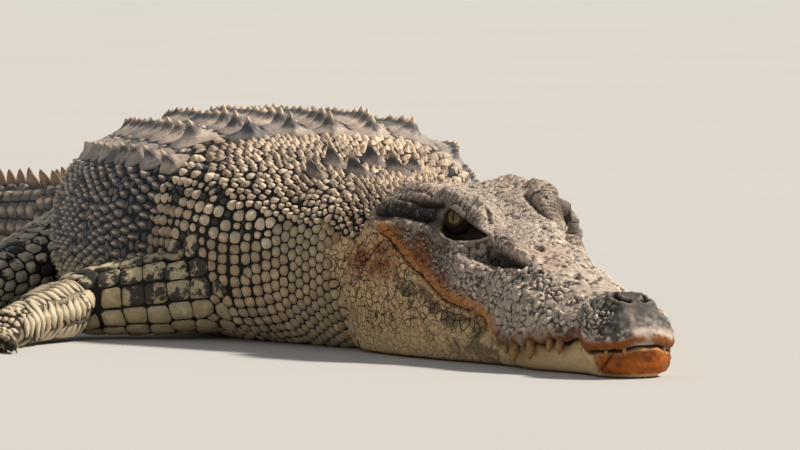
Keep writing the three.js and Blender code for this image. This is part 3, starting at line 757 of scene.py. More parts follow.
def foldRelief(at):
    # wandering folds behind the mouth's corner, and the ridge of the cheek
    bent = headPlaces(drifted(at.p, 5, 26, 35))
    ridge = (reliefPlan["cheekHeight"] * (1 + 0.5 * noise(at.p, 11, 39))
             * hill(nearLine(at, "cheekRidge"), 0, 5.5))
    for name in ("mouthFoldA", "mouthFoldB", "mouthFoldC"):
        away = nearLine(bent, name)
        ridge = ridge - reliefPlan["foldDepth"] * hill(away, 0, 2.6) + 1.6 * hill(away, 7, 4)
    return ridge


def chinRelief(at):
    # a rounder chin, creased behind
    chin = 3.2 * hill(at.z, 15, 8) - 3.0 * fade(at.z, 8, 1) + 0.9 * roughNoise(at.p, 6, 2, 59)
    behind = 5.0 * hill(at.d, 56, 4) * hill(at.z, 12, 5) * fade(at.out, 20, 30)
    return fade(at.d, 46, 26) * fade(at.t, 0, -4) * chin - behind


def knobRelief(at):
    # knobs where the hide is rough, and scattered pits
    plan, rough = reliefPlan, roughZone(at)
    near, second, own = cells(drifted(at.p, 2.6, 7, 41), plan["knobSize"], 3)
    knob = fade(second - near, 0.02, 0.55) * (0.25 + 0.85 * own)
    near, second, own = cells(at.p, plan["pitSize"], 5)
    pitted = fade(near, 0.3, 0.1) * (own > 0.4) * fade(at.d, 80, 120) * fade(at.z, 40, 70)
    return rough * (plan["knobHeight"] * knob - 1.3) - plan["pitDepth"] * pitted * np.maximum(rough, 0.3)


def wrinkleRelief(at):
    # wrinkled hide on the cheeks, under the eyes and round the mouth's corners, over a broad unevenness
    d, z, p = at.d, at.z, at.p
    creased = (fade(d, 262, 290) * fade(d, 470, 430) * fade(z, 60, 88) * fade(z, 172, 158)
               * fade(at.out, 52, 66))
    folds = np.abs(noise(drifted(p, 5, 26, 35) * np.array([1.0, 1.0, 1.5]), 13, 47))
    uneven = 2.0 * roughNoise(p, 24, 3, 21) + 0.75 * roughNoise(p, 6, 2, 27) * fade(z, 20, 40)
    return creased * (1.5 * fade(folds, 0.0, 0.5) - 1.0
                      + 1.3 * roughNoise(p, 7, 3, 49)) + uneven * fade(d, 470, 430)


def headRelief(p, n):
    at = headPlaces(p)
    at.up = n[:, 2]
    h = sum(part(at) for part in (
        mouthRelief, ridgeRelief, lidRelief, grooveRelief, snoutPitRelief, tableRelief, noseRelief,
        foldRelief,
        chinRelief, knobRelief, wrinkleRelief))
    end = skinPlan["headEnd"]
    return h * fade(at.d, end + 6, end - 8) * fade(at.z, 0.5, 5)


def crackNet(p):
    # 1 in the cracks between the plates of smooth hide, 0 on the plates
    near, second, own = cells(drifted(p, 2.0, 9, 51), reliefPlan["crackSize"], 8)
    return fade(second - near, 0.12, 0.02)


# Each eye lies in a deep socket. The outlines are in the plane that the eye looks out of: ahead and up from
# its middle. The gaze is out to the side, ahead and up.
socketPlan = {
    "skinOver": 1.5, "lidRoll": 1.3, "sink": 3.4, "floor": 1.0, "rim": 1.0,
    "gaze": {1: (0.95, 0.27, 0.16), -1: (0.72, 0.68, 0.16)},
    "socket": [(-12, -3.5), (-8.5, 7), (-4, 10.2), (6, 5.0), (17, -4.5), (29, -11.5), (41, -18),
               (31, -21.5), (16, -24),
               (4, -24.5), (-6, -21), (-13, -13)],
    "slit": [(-7.6, 0.3), (-7.4, 7.4), (-4.7, 10), (6.2, 3.4), (9, -1), (7, -4.8), (1.4, -8.2), (-5.2, -6)],
}


def eyeAxes(side):
    turn = math.radians(float(curve(spinePlan["turns"], eyePlan["d"])))
    ahead = np.array([math.sin(turn), -math.cos(turn), 0])
    outward = np.array([math.cos(turn), math.sin(turn), 0]) * side
    gaze = unit(np.array(socketPlan["gaze"][side]) @ np.array([outward, ahead, up]))
    level = unit(np.cross(up, gaze))
    return gaze, level * side, np.cross(gaze, level)


def outlineDistance(x, y, corners):
    # the distance from a closed outline, below 0 inside it
    best, inside = np.full(len(x), 1e6), np.zeros(len(x), bool)
    for (ax, ay), (bx, by) in zip(corners, corners[1:] + corners[:1]):
        t = np.clip(((x - ax) * (bx - ax) + (y - ay) * (by - ay)) / ((bx - ax) ** 2 + (by - ay) ** 2), 0, 1)
        best = np.minimum(best, np.hypot(x - ax - t * (bx - ax), y - ay - t * (by - ay)))
        crosses = (ay > y) != (by > y)
        inside ^= crosses & (x < ax + (y - ay) * (bx - ax) / (by - ay if by != ay else 1e-9))
    return np.where(inside, -best, best)


def eyePlaces(p, side):
    # places out along the gaze, ahead and up from the eye's middle, and how far outside the outlines
    # of the socket and the slit they lie
    gaze, level, upward = eyeAxes(side)
    q = p - eyeMiddle[side]
    g, x, y = q @ gaze, -(q @ level), q @ upward
    near = (g > -4) & (np.abs(x) < 50) & (np.abs(y) < 50)
    socket, slit = (np.where(near, outlineDistance(x, y, socketPlan[name]), 99.0)
                    for name in ("socket", "slit"))
    return g, x, y, socket, slit


def shapeEyes(p):
    plan, ball = socketPlan, eyePlan["radius"]
    for side in (1, -1):
        gaze = eyeAxes(side)[0]
        g, x, y, socket, slit = eyePlaces(p, side)
        rho = np.hypot(x, y)
        # the skin never lies inside the eyeball, and the lids bulge over it
        thick = (plan["skinOver"] + 0.9 * np.abs(roughNoise(p, 7, 2, 57))
                 + plan["lidRoll"] * hill(slit, 1.2, 1.1))
        cover = np.sqrt(np.maximum((ball + thick) ** 2 - rho ** 2, 0))
        outside = (socket < 90) & (rho < ball + 2)
        newG = np.where(outside, np.maximum(g, cover + 0.8), g) + plan["rim"] * hill(socket, 2.2, 2.0)
        hollow = np.maximum(cover, plan["floor"])
        opened = np.sqrt(np.maximum((ball - plan["sink"]) ** 2 - rho ** 2, 0))
        within = mix(hollow, opened, fade(slit, 0.4, -0.4))
        newG = mix(newG, within, fade(socket, 0.6, -1.4))
        p = p + gaze * (newG - g)[:, None] * (socket < 90)[:, None]
    return p


def sculptSkin():
    # returns the points as they were, which the paint follows
    mesh = skin.data
    p, n = localPoints(mesh), meshNormals(mesh)
    s, left = toSpine(p)
    onHead = s < skinPlan["headEnd"] + 6
    h = np.zeros(len(p))
    h[onHead] = headRelief(p[onHead], n[onHead])
    jowl = np.zeros(len(p))
    jowl[onHead] = crackNet(p[onHead]) * fade(s[onHead], 150, 300)
    h -= reliefPlan["crackDepth"] * jowl
    plainPoints = p
    p = p + n * h[:, None]
    around = onHead & (s > 250) & (s < 370)
    p[around] = shapeEyes(p[around])
    p[:, 2] = np.maximum(p[:, 2], 0.4)
    setLocalPoints(mesh, p)
    mesh.shade_smooth()
    return plainPoints


plainPoints = sculptSkin()
print("skin sculpted")

# Everything that grows on the skin starts as seeds: places, lie, size and shape of each scale.
# Dome: low is pointed, high is flat. Round: 6 is an oval, 18 nearly square. Gap: the groove to the
# neighbours.
kindFields = ("height", "keel", "round", "dome", "tilt", "gap")
kindShape = {
    "nape": (3.2, 1.6, 6, 1.5, 0.25, 0.5), "nuchal": (3.0, 20, 10, 3, 0.1, 0.4),
    "back": (2.4, 13, 14, 5, 0.2, 0.3),
    "flank": (2.0, 3.0, 8, 2.6, 0.2, 0.6), "neckSide": (2.5, 0, 9, 2.6, 0.1, 0.12),
    "bead": (4.8, 0.8, 6, 1.8, 0, 0.35), "belly": (1.2, 0, 16, 6, 0.1, 0.3),
    "tail": (2.6, 2.6, 16, 5, 0.3, 0.3),
    "tailUnder": (1.6, 0, 16, 6, 0.2, 0.3), "armPlate": (2.2, 0, 18, 7, 0.6, 0.1),
    "armBand": (2.2, 1.4, 18, 6, 2.2, 0.05), "legPlate": (2.4, 1.2, 14, 4, 0.6, 0.2),
    "legBand": (2.4, 1.2, 16, 4, 1.4, 0.15), "paw": (2.0, 0.8, 8, 2.6, 0.8, 0.15),
}
kindIndex = {name: i for i, name in enumerate(kindShape)}

# The girth table: left and height at each distance round the skin from the middle of the back.
girthPlan = {"from": 400, "pitch": 10, "step": 3.0, "reach": 640, "fineness": 721}
girthS = np.arange(girthPlan["from"], spinePlan["length"] + 10, girthPlan["pitch"], dtype=float)


def buildGirthTable():
    left, z = bodyOutline(girthS[:, None], np.linspace(np.pi / 2, -np.pi / 2, girthPlan["fineness"])[None, :])
    girth = np.cumsum(np.hypot(np.diff(left, axis=1), np.diff(z, axis=1)), 1)
    girth = np.concatenate([np.zeros((len(girthS), 1)), girth], 1)
    steps = np.arange(0, girthPlan["reach"], girthPlan["step"])
    lefts, heights = (np.array([np.interp(steps, g, row) for g, row in zip(girth, table)])
                      for table in (left, z))
    toFloor = np.array([g[np.argmax(row <= bodyPlan["floorLevel"] + 0.3)] for g, row in zip(girth, z)])
    return lefts, heights, toFloor


girthLeft, girthHeight, girthFloor = buildGirthTable()


def floorGirth(s):
    # how far round the skin it is from the middle of the back to the floor
    return float(np.interp(s, girthS, girthFloor))


def onBody(s, girth):
    s, girth = np.broadcast_arrays(np.asarray(s, float), np.asarray(girth, float))
    fs = np.clip((s - girthPlan["from"]) / girthPlan["pitch"], 0, len(girthS) - 1.001)
    fg = np.clip(np.abs(girth) / girthPlan["step"], 0, girthLeft.shape[1] - 1.001)
    i, j = fs.astype(int), fg.astype(int)
    left, z = (mix(mix(table[i, j], table[i, j + 1], fg - j),
                   mix(table[i + 1, j], table[i + 1, j + 1], fg - j), fs - i)
               for table in (girthLeft, girthHeight))
    left = left * np.sign(girth)
    return fromSpine(s, left, z), left, z


class SeedBed:
    # the seeds sown so far, as one array for each thing that is known of them
    def __init__(self):
        self.rows = []

    def add(self, place, lie, kind, long, wide, u, v, **changes):
        place = np.atleast_2d(place)
        row = dict(zip(kindFields, kindShape[kind]), kind=kindIndex[kind], long=long, wide=wide, u=u, v=v,
                   filler=0)
        row = {key: np.broadcast_to(np.asarray(value, float), len(place))
               for key, value in {**row, **changes}.items()}
        self.rows.append({**row, "place": place, "lie": np.broadcast_to(lie, place.shape)})

    def gathered(self):
        return {key: np.concatenate([row[key] for row in self.rows]) for key in self.rows[0]}


def picked(seeds, chosen):
    return {key: values[chosen] for key, values in seeds.items()}


def isOf(seeds, *kinds):
    return np.isin(seeds["kind"], [kindIndex[kind] for kind in kinds])


def backward(s):
    turn = np.interp(s, trackS, trackTurn)
    return np.stack([-np.sin(turn), np.cos(turn), np.zeros_like(turn)], -1)


def sowBody(bed, kind, s, girth, long, wide, **changes):
    s, girth = np.atleast_1d(s).astype(float), np.atleast_1d(girth).astype(float)
    u, v = 0.02 + 0.96 * s / spinePlan["length"], 0.3 + girth / 2400
    bed.add(onBody(s, girth)[0], backward(s), kind, long, wide, u, v, **changes)


def rowPlaces(start, end, step, offset, scatter):
    # places along a row, with every other row shifted by half a step
    places = np.arange(start + step * offset, end, step)
    return places + draw.uniform(-scatter, scatter, len(places)) * step


seedPlan = {
    # from, to, how many rows; then places of the columns as shares of the half width
    "backPitch": (742, 1430, 15), "backColumns": [0.11, 0.34, 0.57, 0.81], "edgeKeel": 0.7,
    # distance back, distance out, half length, half width, height of the keel
    "nuchals": [(578, 26, 23, 17, 20), (624, 24, 21, 16, 20), (602, 64, 19, 14, 17)],
    "napeSize": 8.4, "napeReach": ([440, 520, 640, 748], [118, 128, 150, 130]),
    "neckSize": 12.0, "flankSize": (22.0, 11.2), "bellySize": 24, "tailWidth": 23,
    "tailPitch": [(1430, 46), (2000, 43), (2600, 36), (3050, 26)],
    # pitch, width, part of the bone that they cover, shift of every other ring
    "armPlate": (27, 25, (0.1, 1.08), 0), "armBand": (10.5, 31, (0.06, 1.0), 0),
    "legPlate": (19, 17, (0.1, 1.1), 0.5), "legBand": (14, 18, (0.0, 1.0), 0.5),
    "palmStep": 8.5, "digitStep": 7.5, "digitRows": [(-8, 6), (-4, 18), (4, 18), (8, 6)],
    "fillers": 12000, "fillerSize": (4.2, 6.5),
}


def jowlEdge(z):
    # how far back the smooth jaw reaches at each height
    return np.interp(z, [0, 26, 54, 86, 110, 137, 150], [446, 466, 490, 508, 512, 470, 440])


def nearNuchal(s, left, margin=1.0):
    near = np.zeros(len(s), bool)
    for place, across, long, wide, keel in seedPlan["nuchals"]:
        near |= ((s - place) / (long + margin)) ** 2 + ((np.abs(left) - across) / (wide + margin)) ** 2 < 1
    return near


def sowNape(bed):
    for place, across, long, wide, keel in seedPlan["nuchals"]:
        for side in (-1, 1):
            sowBody(bed, "nuchal", place, side * across * 1.02, long, wide, keel=keel)
    for i, s in enumerate(np.arange(440, 748, seedPlan["napeSize"] * 0.98)):
        size = np.interp(s, [440, 560, 660, 748], [7.6, 8.4, 10, 13])
        for side in (-1, 1):
            reach = np.interp(s, *seedPlan["napeReach"])
            girth = rowPlaces(0, reach, size * 0.95, 0.5 * (i % 2) + 0.25, 0.2) * side
            spot = s + draw.uniform(-0.26, 0.26, len(girth)) * size
            keep = ~nearNuchal(spot, np.abs(girth))
            grow = draw.uniform(0.85, 1.3, keep.sum())
            sowBody(bed, "nape", spot[keep], girth[keep], size * 0.55 * grow, size * 0.52 * grow,
                    height=2.2 + 1.2 * grow)


def sowNeckSides(bed):
    # round plates in rows, and large and small beads above the arm
    step = seedPlan["neckSize"]
    for i, s in enumerate(np.arange(450, 742, step * 0.9)):
        start = np.interp(s, *seedPlan["napeReach"]) + 4
        for side in (-1, 1):
            girth = rowPlaces(start, floorGirth(s) + 30, step, 0.5 * (i % 2), 0.08)
            spot = s + draw.uniform(-0.08, 0.08, len(girth)) * step
            z = onBody(spot, girth)[2]
            keep = spot > jowlEdge(z) + 4
            beads = fade(spot, 575, 610) * fade(z, 96, 120) > 0.5
            size = step * (0.53 + 0.1 * fade(z, 80, 20))
            plain, beads = keep & ~beads, keep & beads
            sowBody(bed, "neckSide", spot[plain], girth[plain] * side, size[plain], size[plain])
            large = draw.random(beads.sum()) < 0.45
            sowBody(bed, "bead", spot[beads], girth[beads] * side, np.where(large, 8.4, 5.0),
                    np.where(large, 8.0, 4.8), height=np.where(large, 4.6, 2.8))


def sowBack(bed):
    start, end, count = seedPlan["backPitch"]
    pitch = (end - start) / count
    columns = seedPlan["backColumns"]
    for k, s in enumerate(start + pitch * (np.arange(count) + 0.5)):
        half = float(bodySection(s)[0])
        for c, across in enumerate(columns):
            if c == 2 and not 1 <= k <= count - 2:
                continue
            room = (columns[c + 1] - across if c < 3 else 0.16) * half
            keel = ((12 + 7 * fade(s, 1000, 780)) * (1 if c < 3 else seedPlan["edgeKeel"])
                    * draw.uniform(0.8, 1.1))
            for side in (-1, 1):
                sowBody(bed, "back", s, side * across * half * 1.015, pitch * 0.52, min(room * 0.56, 30),
                        keel=keel)


def sowFlanks(bed):
    long, wide = seedPlan["flankSize"]
    for i, s in enumerate(np.arange(716, 1432, long * 0.92)):
        first = 0.93 * float(bodySection(s)[0]) if s > 752 else np.interp(s, [716, 752], [110, 150])
        end = floorGirth(s)
        for side in (-1, 1):
            girth = rowPlaces(first, end - 26, wide, 0.5 * (i % 2), 0.1)
            spot = s + draw.uniform(-0.12, 0.12, len(girth)) * long
            low = fade(girth, end - 120, end - 30)
            grow = draw.uniform(0.85, 1.12, len(girth))
            sowBody(bed, "flank", spot, girth * side, long * 0.5 * grow, wide * 0.52 * grow,
                    keel=3.2 * (1 - low))
            girth = np.arange(end - 22, end + 60, seedPlan["bellySize"])
            sowBody(bed, "belly", np.full(len(girth), s), girth * side, long * 0.5, seedPlan["bellySize"] / 2)


def sowTail(bed):
    s = seedPlan["backPitch"][1] + seedPlan["tailPitch"][0][1] / 2
    while s < spinePlan["length"] - 8:
        pitch = float(curve(seedPlan["tailPitch"], s))
        end = floorGirth(s)
        count = max(3, int(round(end / seedPlan["tailWidth"])))
        width = end / count
        girth = (np.arange(count + 2) + 0.5) * width
        under = girth > end * 0.8
        for side, (kind, chosen) in product((-1, 1), (("tail", ~under), ("tailUnder", under))):
            top = fade(girth[chosen], end * 0.5, 0) * (kind == "tail")
            sowBody(bed, kind, np.full(chosen.sum(), s), girth[chosen] * side, pitch * 0.52, width * 0.55,
                    keel=kindShape[kind][1] + 3.5 * top)
        s += pitch


def sowBone(bed, kind, start, end, shape, island):
    # rings of plates round a bone; each limb has its own island of the bake map
    length, axis, across, upward = boneAxes(start, end)
    pitch, width, (low, high), brick = seedPlan[kind]
    rows = max(2, int(round(length * (high - low) / pitch)))
    for i in range(rows + 1):
        t = mix(low, high, i / rows)
        wide, deep = (float(curve(shape, t, k)) - limbPlan["inset"] for k in (1, 2))
        around = math.pi * (wide + deep)
        count = max(4, int(round(around / width)))
        angle = (2 * np.pi * (np.arange(count) + brick * (i % 2) + 0.15) / count
                 + draw.uniform(-0.03, 0.03, count))
        places = start + axis * (t * length) + across * (np.cos(angle) * wide)[:, None]
        places = places + upward * (np.sin(angle) * deep)[:, None]
        u = island + 0.09 * (angle % (2 * np.pi)) / (2 * np.pi)
        bed.add(places, axis, kind, pitch * 0.54, around / count * 0.54, u, 0.66 + 0.12 * t)


def sowPaw(bed, paw, island):
    shape, step = paw.shape, seedPlan["palmStep"]
    for i, ahead in enumerate(np.arange(-12, shape["palm"] + 4, step)):
        share = ahead / shape["palm"]
        half = shape["width"] * np.interp(share, [-0.2, 0, 0.5, 1], [0.55, 0.64, 0.82, 1])
        out = np.arange(-half, half + 1, step) + (i % 2) * step / 2
        z = mix(paw.wrist[2] * 1.6, shape["thickness"] * 1.5, min(max(share, 0), 1))
        bed.add(paw.at(ahead, out, z), paw.forward, "paw", step * 0.55, step * 0.55,
                island + 0.0004 * (out + 50), 0.82 + 0.0004 * ahead)
    for i, digit in enumerate(paw.digits):
        line = paw.forward * math.cos(digit[2]) + paw.across * math.sin(digit[2])
        for along, (swing, z) in product(np.arange(2, digit[0] - 3, seedPlan["digitStep"]),
                                         seedPlan["digitRows"]):
            bed.add(paw.at(*paw.flat(digit, along, swing), z), line, "paw", 4.4, 4.6,
                    island + 0.02 * i + swing * 0.0005, 0.87 + 0.0004 * along, height=1.4)


def sowLimbs(bed):
    for i, (kind, side, joints) in enumerate(allLimbs()):
        island = 0.05 + 0.11 * i
        plates, bands = {"fore": ("armPlate", "armBand"), "hind": ("legPlate", "legBand")}[kind]
        sowBone(bed, plates, joints[0], joints[1], limbPlan["upper"][kind], island)
        sowBone(bed, bands, joints[1], joints[2], limbPlan["lower"][kind], island)
        sowPaw(bed, Paw(kind, side, joints), island)


def treeOf(points):
    kd = KDTree(len(points))
    for i, q in enumerate(points):
        kd.insert(Vector(q), i)
    kd.balance()
    return kd


def fillGaps(bed):
    # small scales of the nearest kind at scattered places; only those that land in gaps stay
    seeds = bed.gathered()
    kd = treeOf(seeds["place"])
    p = localPoints(skin.data)
    usable = np.flatnonzero((toSpine(p)[0] > 520) & (p[:, 2] > 3) & (pawNearness(p) < 0.4))
    chosen = draw.choice(usable, seedPlan["fillers"], replace=False)
    near = np.array([kd.find(Vector(q))[1] for q in p[chosen]])
    onLimb = isOf(seeds, "armPlate", "armBand", "legPlate", "legBand", "paw")[near]
    row = picked(seeds, near[~onLimb])
    count = len(row["kind"])
    size = draw.uniform(*seedPlan["fillerSize"], count)
    changes = {"long": size, "wide": size, "height": np.minimum(row["height"], 2.4), "keel": 0, "round": 7,
               "dome": 2, "tilt": 0.2, "filler": 1}
    changes = {key: np.broadcast_to(np.asarray(value, float), count) for key, value in changes.items()}
    bed.rows.append({**row, **changes, "place": p[chosen[~onLimb]]})


def settleSeeds(bed):
    # every seed goes to the nearest place on the skin, and those far from it are dropped;
    # the palms, soles and the flat of the belly have none
    seeds = bed.gathered()
    sown = len(seeds["kind"])
    tree = BVHTree.FromObject(skin, bpy.context.evaluated_depsgraph_get())
    hits = [tree.find_nearest(Vector(p)) for p in toWorld(seeds["place"])]
    seeds["place"] = np.array([hit[0] for hit in hits]) * 1000 - shift
    seeds["normal"] = np.array([hit[1] for hit in hits])
    near = np.array([hit[3] for hit in hits]) < np.where(isOf(seeds, "paw"), 0.022, 0.014)
    seeds = picked(seeds, near & ((seeds["place"][:, 2] > 2.5) | (seeds["normal"][:, 2] > -0.3)))
    seeds["size"] = np.minimum(seeds["long"], seeds["wide"])
    # where seeds crowd each other, the larger one stays
    spots, size, filler = seeds["place"], seeds["size"], seeds["filler"]
    kd = treeOf(spots)
    alive = np.ones(len(spots), bool)
    rank = np.argsort(-size, kind="stable")
    order = np.argsort(rank)
    for i in rank:
        if not alive[i]:
            continue
        for co, j, away in kd.find_range(Vector(spots[i]), size[i] * 1.25 + 9):
            room = 1.12 if filler[j] and not filler[i] else 0.62
            if j != i and alive[j] and order[j] > order[i] and away < room * (size[i] + size[j]):
                alive[j] = False
    print("scales:", alive.sum(), "of", sown)
    return picked(seeds, alive)


def neighbours(spots, count=14):
    kd = treeOf(spots)
    return np.array([[hit[1] for hit in kd.find_n(Vector(p), count + 1)][1:] for p in spots])


def frames(normals, lies):
    # directions along and across the skin at each seed
    lies = lies - normals * np.einsum("ij,ij->i", lies, normals)[:, None]
    length = np.linalg.norm(lies, axis=1)[:, None]
    lies = np.where(length < 1e-3, np.array([[0, 1.0, 0]]), lies / np.maximum(length, 1e-9))
    return lies, np.cross(normals, lies)


def neighbourPlaces(own, others):
    # each neighbour's place along, across and above the skin at the scale, and how far its normal agrees
    d = others["place"] - own["place"][:, None, :]
    u, v, w = (np.einsum("ikj,ij->ik", d, own[key]) for key in ("back", "across", "normal"))
    facing = np.einsum("ikj,ij->ik", others["normal"], own["normal"])
    flat = -(d - own["normal"][:, None, :] * w[..., None])
    return u, v, w, facing, flat


def scaleReach(own, others, theta, u, v, facing, flat):
    # how far the outline reaches toward each angle, in the scale's own half length and half width:
    # shares between neighbours follow their sizes in that direction
    away = np.hypot(u, v) + 1e-6
    mine = 1 / np.sqrt((u / away / own["long"]) ** 2 + (v / away / own["wide"]) ** 2)
    ou, ov = (np.einsum("ikj,ikj->ik", flat, axes.reshape(flat.shape))
              for axes in frames(others["normal"].reshape(-1, 3), others["lie"].reshape(-1, 3)))
    oAway = np.hypot(ou, ov) + 1e-6
    theirs = 1 / np.sqrt((ou / oAway / others["long"]) ** 2 + (ov / oAway / others["wide"]) ** 2)
    unitU, unitV = u / own["long"], v / own["wide"]
    edge = np.hypot(unitU, unitV) * mine / (mine + theirs)
    turn = np.arctan2(unitV, unitU)
    lean = np.maximum(np.cos(theta[None, :, None] - turn[:, None, :]), 0)
    pull = np.where((facing > 0.2)[:, None, :], lean / np.maximum(edge, 0.04)[:, None, :], 0)
    power = own["round"]
    square = np.where(power > 13, 6.0, 2.2)
    cap = 1.2 * (np.abs(np.cos(theta)) ** square + np.abs(np.sin(theta)) ** square) ** (-1 / square)
    reach = ((pull ** power[:, :, None]).sum(2) + cap ** -power) ** (-1 / power)
    gap = own["gap"] / np.hypot(np.cos(theta) * own["long"], np.sin(theta) * own["wide"])
    return np.maximum(reach - gap, 0.12)


def skinBend(own, u, v, w, facing):
    # how the skin curves away below the scale, fitted to its neighbours' places
    large = np.maximum(own["long"], own["wide"])
    weight = np.where(facing > 0.2, 1 / (1 + ((np.hypot(u, v) + 1e-6) / (2.2 * large)) ** 4), 0)
    basis = np.stack([u * u, u * v, v * v], -1)
    steady = np.eye(3) * (own["long"][:, :, None] ** 4) * 0.05
    left = np.einsum("ika,ikb,ik->iab", basis, basis, weight) + steady
    right = np.einsum("ika,ik,ik->ia", basis, w, weight)
    bend = np.linalg.solve(left, right[..., None])[..., 0]
    return np.clip(bend, -0.42 / large, 0.6 * 0.42 / large)


def keelHeight(keel, tall, xs, ys, share):
    # low keels are even ridges; tall ones rise to a hooked tip at the back
    blade = (mix(0.55, 0.7, tall) * np.exp(-(np.abs(ys) / 0.22) ** 1.5)
             + mix(0.45, 0.3, tall) * np.exp(-(np.abs(ys) / 0.5) ** 2))
    ramp = mix(np.clip(1 - ((xs - 0.12) / 0.95) ** 2, 0, 1),
               np.clip((xs + 0.9) / 1.35, 0, 1) ** 1.3 * (1 - 0.9 * fade(xs, 0.5, 0.94)), tall)
    return keel * blade * ramp * (1 - share ** 8)


def withCentre(rings, centre):
    # ring values and the centre's value of each scale, in the order of its points
    return np.concatenate([rings.reshape(len(rings), -1), np.broadcast_to(centre, (len(rings), 1))], 1)


def scaleMesh(name, points, rings, around):
    # one joined mesh: rings of quads and a fan in the middle of each scale
    count, per = points.shape[:2]
    k = np.arange(around)
    after = (k + 1) % around
    quads = np.concatenate([np.stack([a + k, a + after, a + around + after, a + around + k], 1)
                            for a in range(0, (rings - 1) * around, around)])
    last = (rings - 1) * around
    fan = np.stack([last + k, last + after, np.full(around, per - 1)], 1)
    start = np.arange(count)[:, None, None] * per
    quads, fans = (quads[None] + start).reshape(-1, 4), (fan[None] + start).reshape(-1, 3)
    mesh = bpy.data.meshes.new(name)
    mesh.vertices.add(count * per)
    mesh.vertices.foreach_set("co", toWorld(points.reshape(-1, 3)).astype(np.float32).ravel())
    corners = np.concatenate([quads.ravel(), fans.ravel()])
    mesh.loops.add(len(corners))
    mesh.loops.foreach_set("vertex_index", corners.astype(np.int32))
    starts = np.concatenate([np.arange(len(quads)) * 4, len(quads) * 4 + np.arange(len(fans)) * 3])
    mesh.polygons.add(len(starts))
    mesh.polygons.foreach_set("loop_start", starts.astype(np.int32))
    mesh.update(calc_edges=True)
    mesh.shade_smooth()
    return linked(name, mesh)


hook, patchHalf = 0.42, 0.0012  # how far tall keels lean back; half a scale's patch on the bake map


def buildScales(name, kinds, corners, ringShares, crowd):
    # each scale fills its share of the skin between its neighbours
    chosen = isOf(seeds, *kinds)
    own, others = picked(seeds, chosen), picked(seeds, nearSeeds[chosen])
    own = {key: values if values.ndim > 1 else values[:, None] for key, values in own.items()}
    own["back"], own["across"] = frames(own["normal"], own["lie"])
    u, v, w, facing, flat = neighbourPlaces(own, others)
    theta = 2 * np.pi * np.arange(corners) / corners
    theta = theta - crowd * np.sin(2 * theta)  # closer together along the keel
    reach = scaleReach(own, others, theta, u, v, facing, flat)
    # from here on: scales, rings, places round the ring
    share = np.array(ringShares)[None, :, None]
    r = reach[:, None, :] * share
    xs, ys = r * np.cos(theta), r * np.sin(theta)
    long, wide, height, keel, dome, tilt = (own[key][..., None] for key in (
        "long", "wide", "height", "keel", "dome", "tilt"))
    x, y = xs * long, ys * wide
    tall = fade(keel, 5, 9)
    keelRise = keelHeight(keel, tall, xs, ys, share)
    rise = (height * (1 - np.minimum(share, 1) ** dome) + keelRise
            + tilt * height * 0.6 * xs * (1 - share ** 10))
    rise = np.where(share >= 1, -1.6, rise)  # the outermost ring is sunk in the skin
    bend = skinBend(own, u, v, w, facing)[:, :, None, None]
    z = rise + bend[:, 0] * x * x + bend[:, 1] * x * y + bend[:, 2] * y * y
    pointed = 0.9 * isOf(own, "armBand")[..., None]
    hooked = x + hook * keelRise * tall + pointed * long * (1 - np.abs(ys)) * fade(xs, 0.0, 0.8)
    place, back, across, normal = (own[key][:, None, None, :]
                                   for key in ("place", "back", "across", "normal"))
    points = place + back * hooked[..., None] + across * y[..., None] + normal * z[..., None]
    rough = roughNoise(points.reshape(-1, 3), 6, 2, 45).reshape(z.shape)
    streaks = noise(points.reshape(-1, 3), 3.5, 46).reshape(z.shape)
    uneven = 0.5 * rough * np.minimum(height, 2.5) + 1.1 * streaks * tall
    points = points + normal * uneven[..., None]
    middle = own["keel"] * mix(0.98, (0.9 / 1.35) ** 1.3, tall[..., 0])
    centre = (own["place"] + own["normal"] * (own["height"] + middle)
              + own["back"] * hook * middle * tall[..., 0])
    count = len(points)
    points = np.concatenate([points.reshape(count, -1, 3), centre[:, None, :]], 1)
    points[..., 2] = np.maximum(points[..., 2], 0.15)
    uv = np.stack([own["u"] + patchHalf * withCentre(xs, 0), own["v"] + patchHalf * withCentre(ys, 0)], -1)
    return {"piece": scaleMesh(name, points, len(ringShares), corners), "chosen": chosen,
            "per": points.shape[1],
            "points": points.reshape(-1, 3), "share": withCentre(np.broadcast_to(share, xs.shape), 0).ravel(),
            "lift": withCentre(keelRise, middle).ravel(), "uv": uv.reshape(-1, 2)}


bed = SeedBed()
for sow in (sowNape, sowNeckSides, sowBack, sowFlanks, sowTail, sowLimbs, fillGaps):
    sow(bed)
seeds = settleSeeds(bed)
nearSeeds = neighbours(seeds["place"])
fineRings = (1.0, 0.975, 0.92, 0.78, 0.52, 0.25)
bigRings = (1.0, 0.97, 0.88, 0.77, 0.68, 0.6, 0.52, 0.42, 0.28, 0.14)
# each piece of scales: its kinds, places round a ring, rings, and how far the places crowd along the keel
coatPlan = {
    "neckScales": (("nape", "neckSide", "bead"), 12, fineRings, 0.0),
    "backScutes": (("nuchal", "back"), 32, bigRings, 0.36),
    "flankScales": (("flank", "belly"), 14, fineRings, 0.25),
    "tailScales": (("tail", "tailUnder"), 20, fineRings, 0.2),
    "armScales": (("armPlate", "armBand"), 20, fineRings, 0.0),
    "legScales": (("legPlate", "legBand"), 16, fineRings, 0.0),
    "pawScales": (("paw",), 12, fineRings, 0.0),
}
coats = {}
for name, plan in coatPlan.items():
    coats[name] = buildScales(name, *plan)
    print(name, coats[name]["chosen"].sum(), "scales,", len(coats[name]["piece"].data.polygons), "faces")


def colour(code):
    # a hex colour as linear light
    v = np.array([int(code[i:i + 2], 16) for i in (0, 2, 4)]) / 255
    return np.where(v <= 0.04045, v / 12.92, ((v + 0.055) / 1.055) ** 2.4)


def tint(base, code, amount):
    # the base dyed toward a colour, by an amount from 0 to 1 at each point
    return base + (colour(code) - base) * np.clip(np.asarray(amount, float), 0, 1)[:, None]


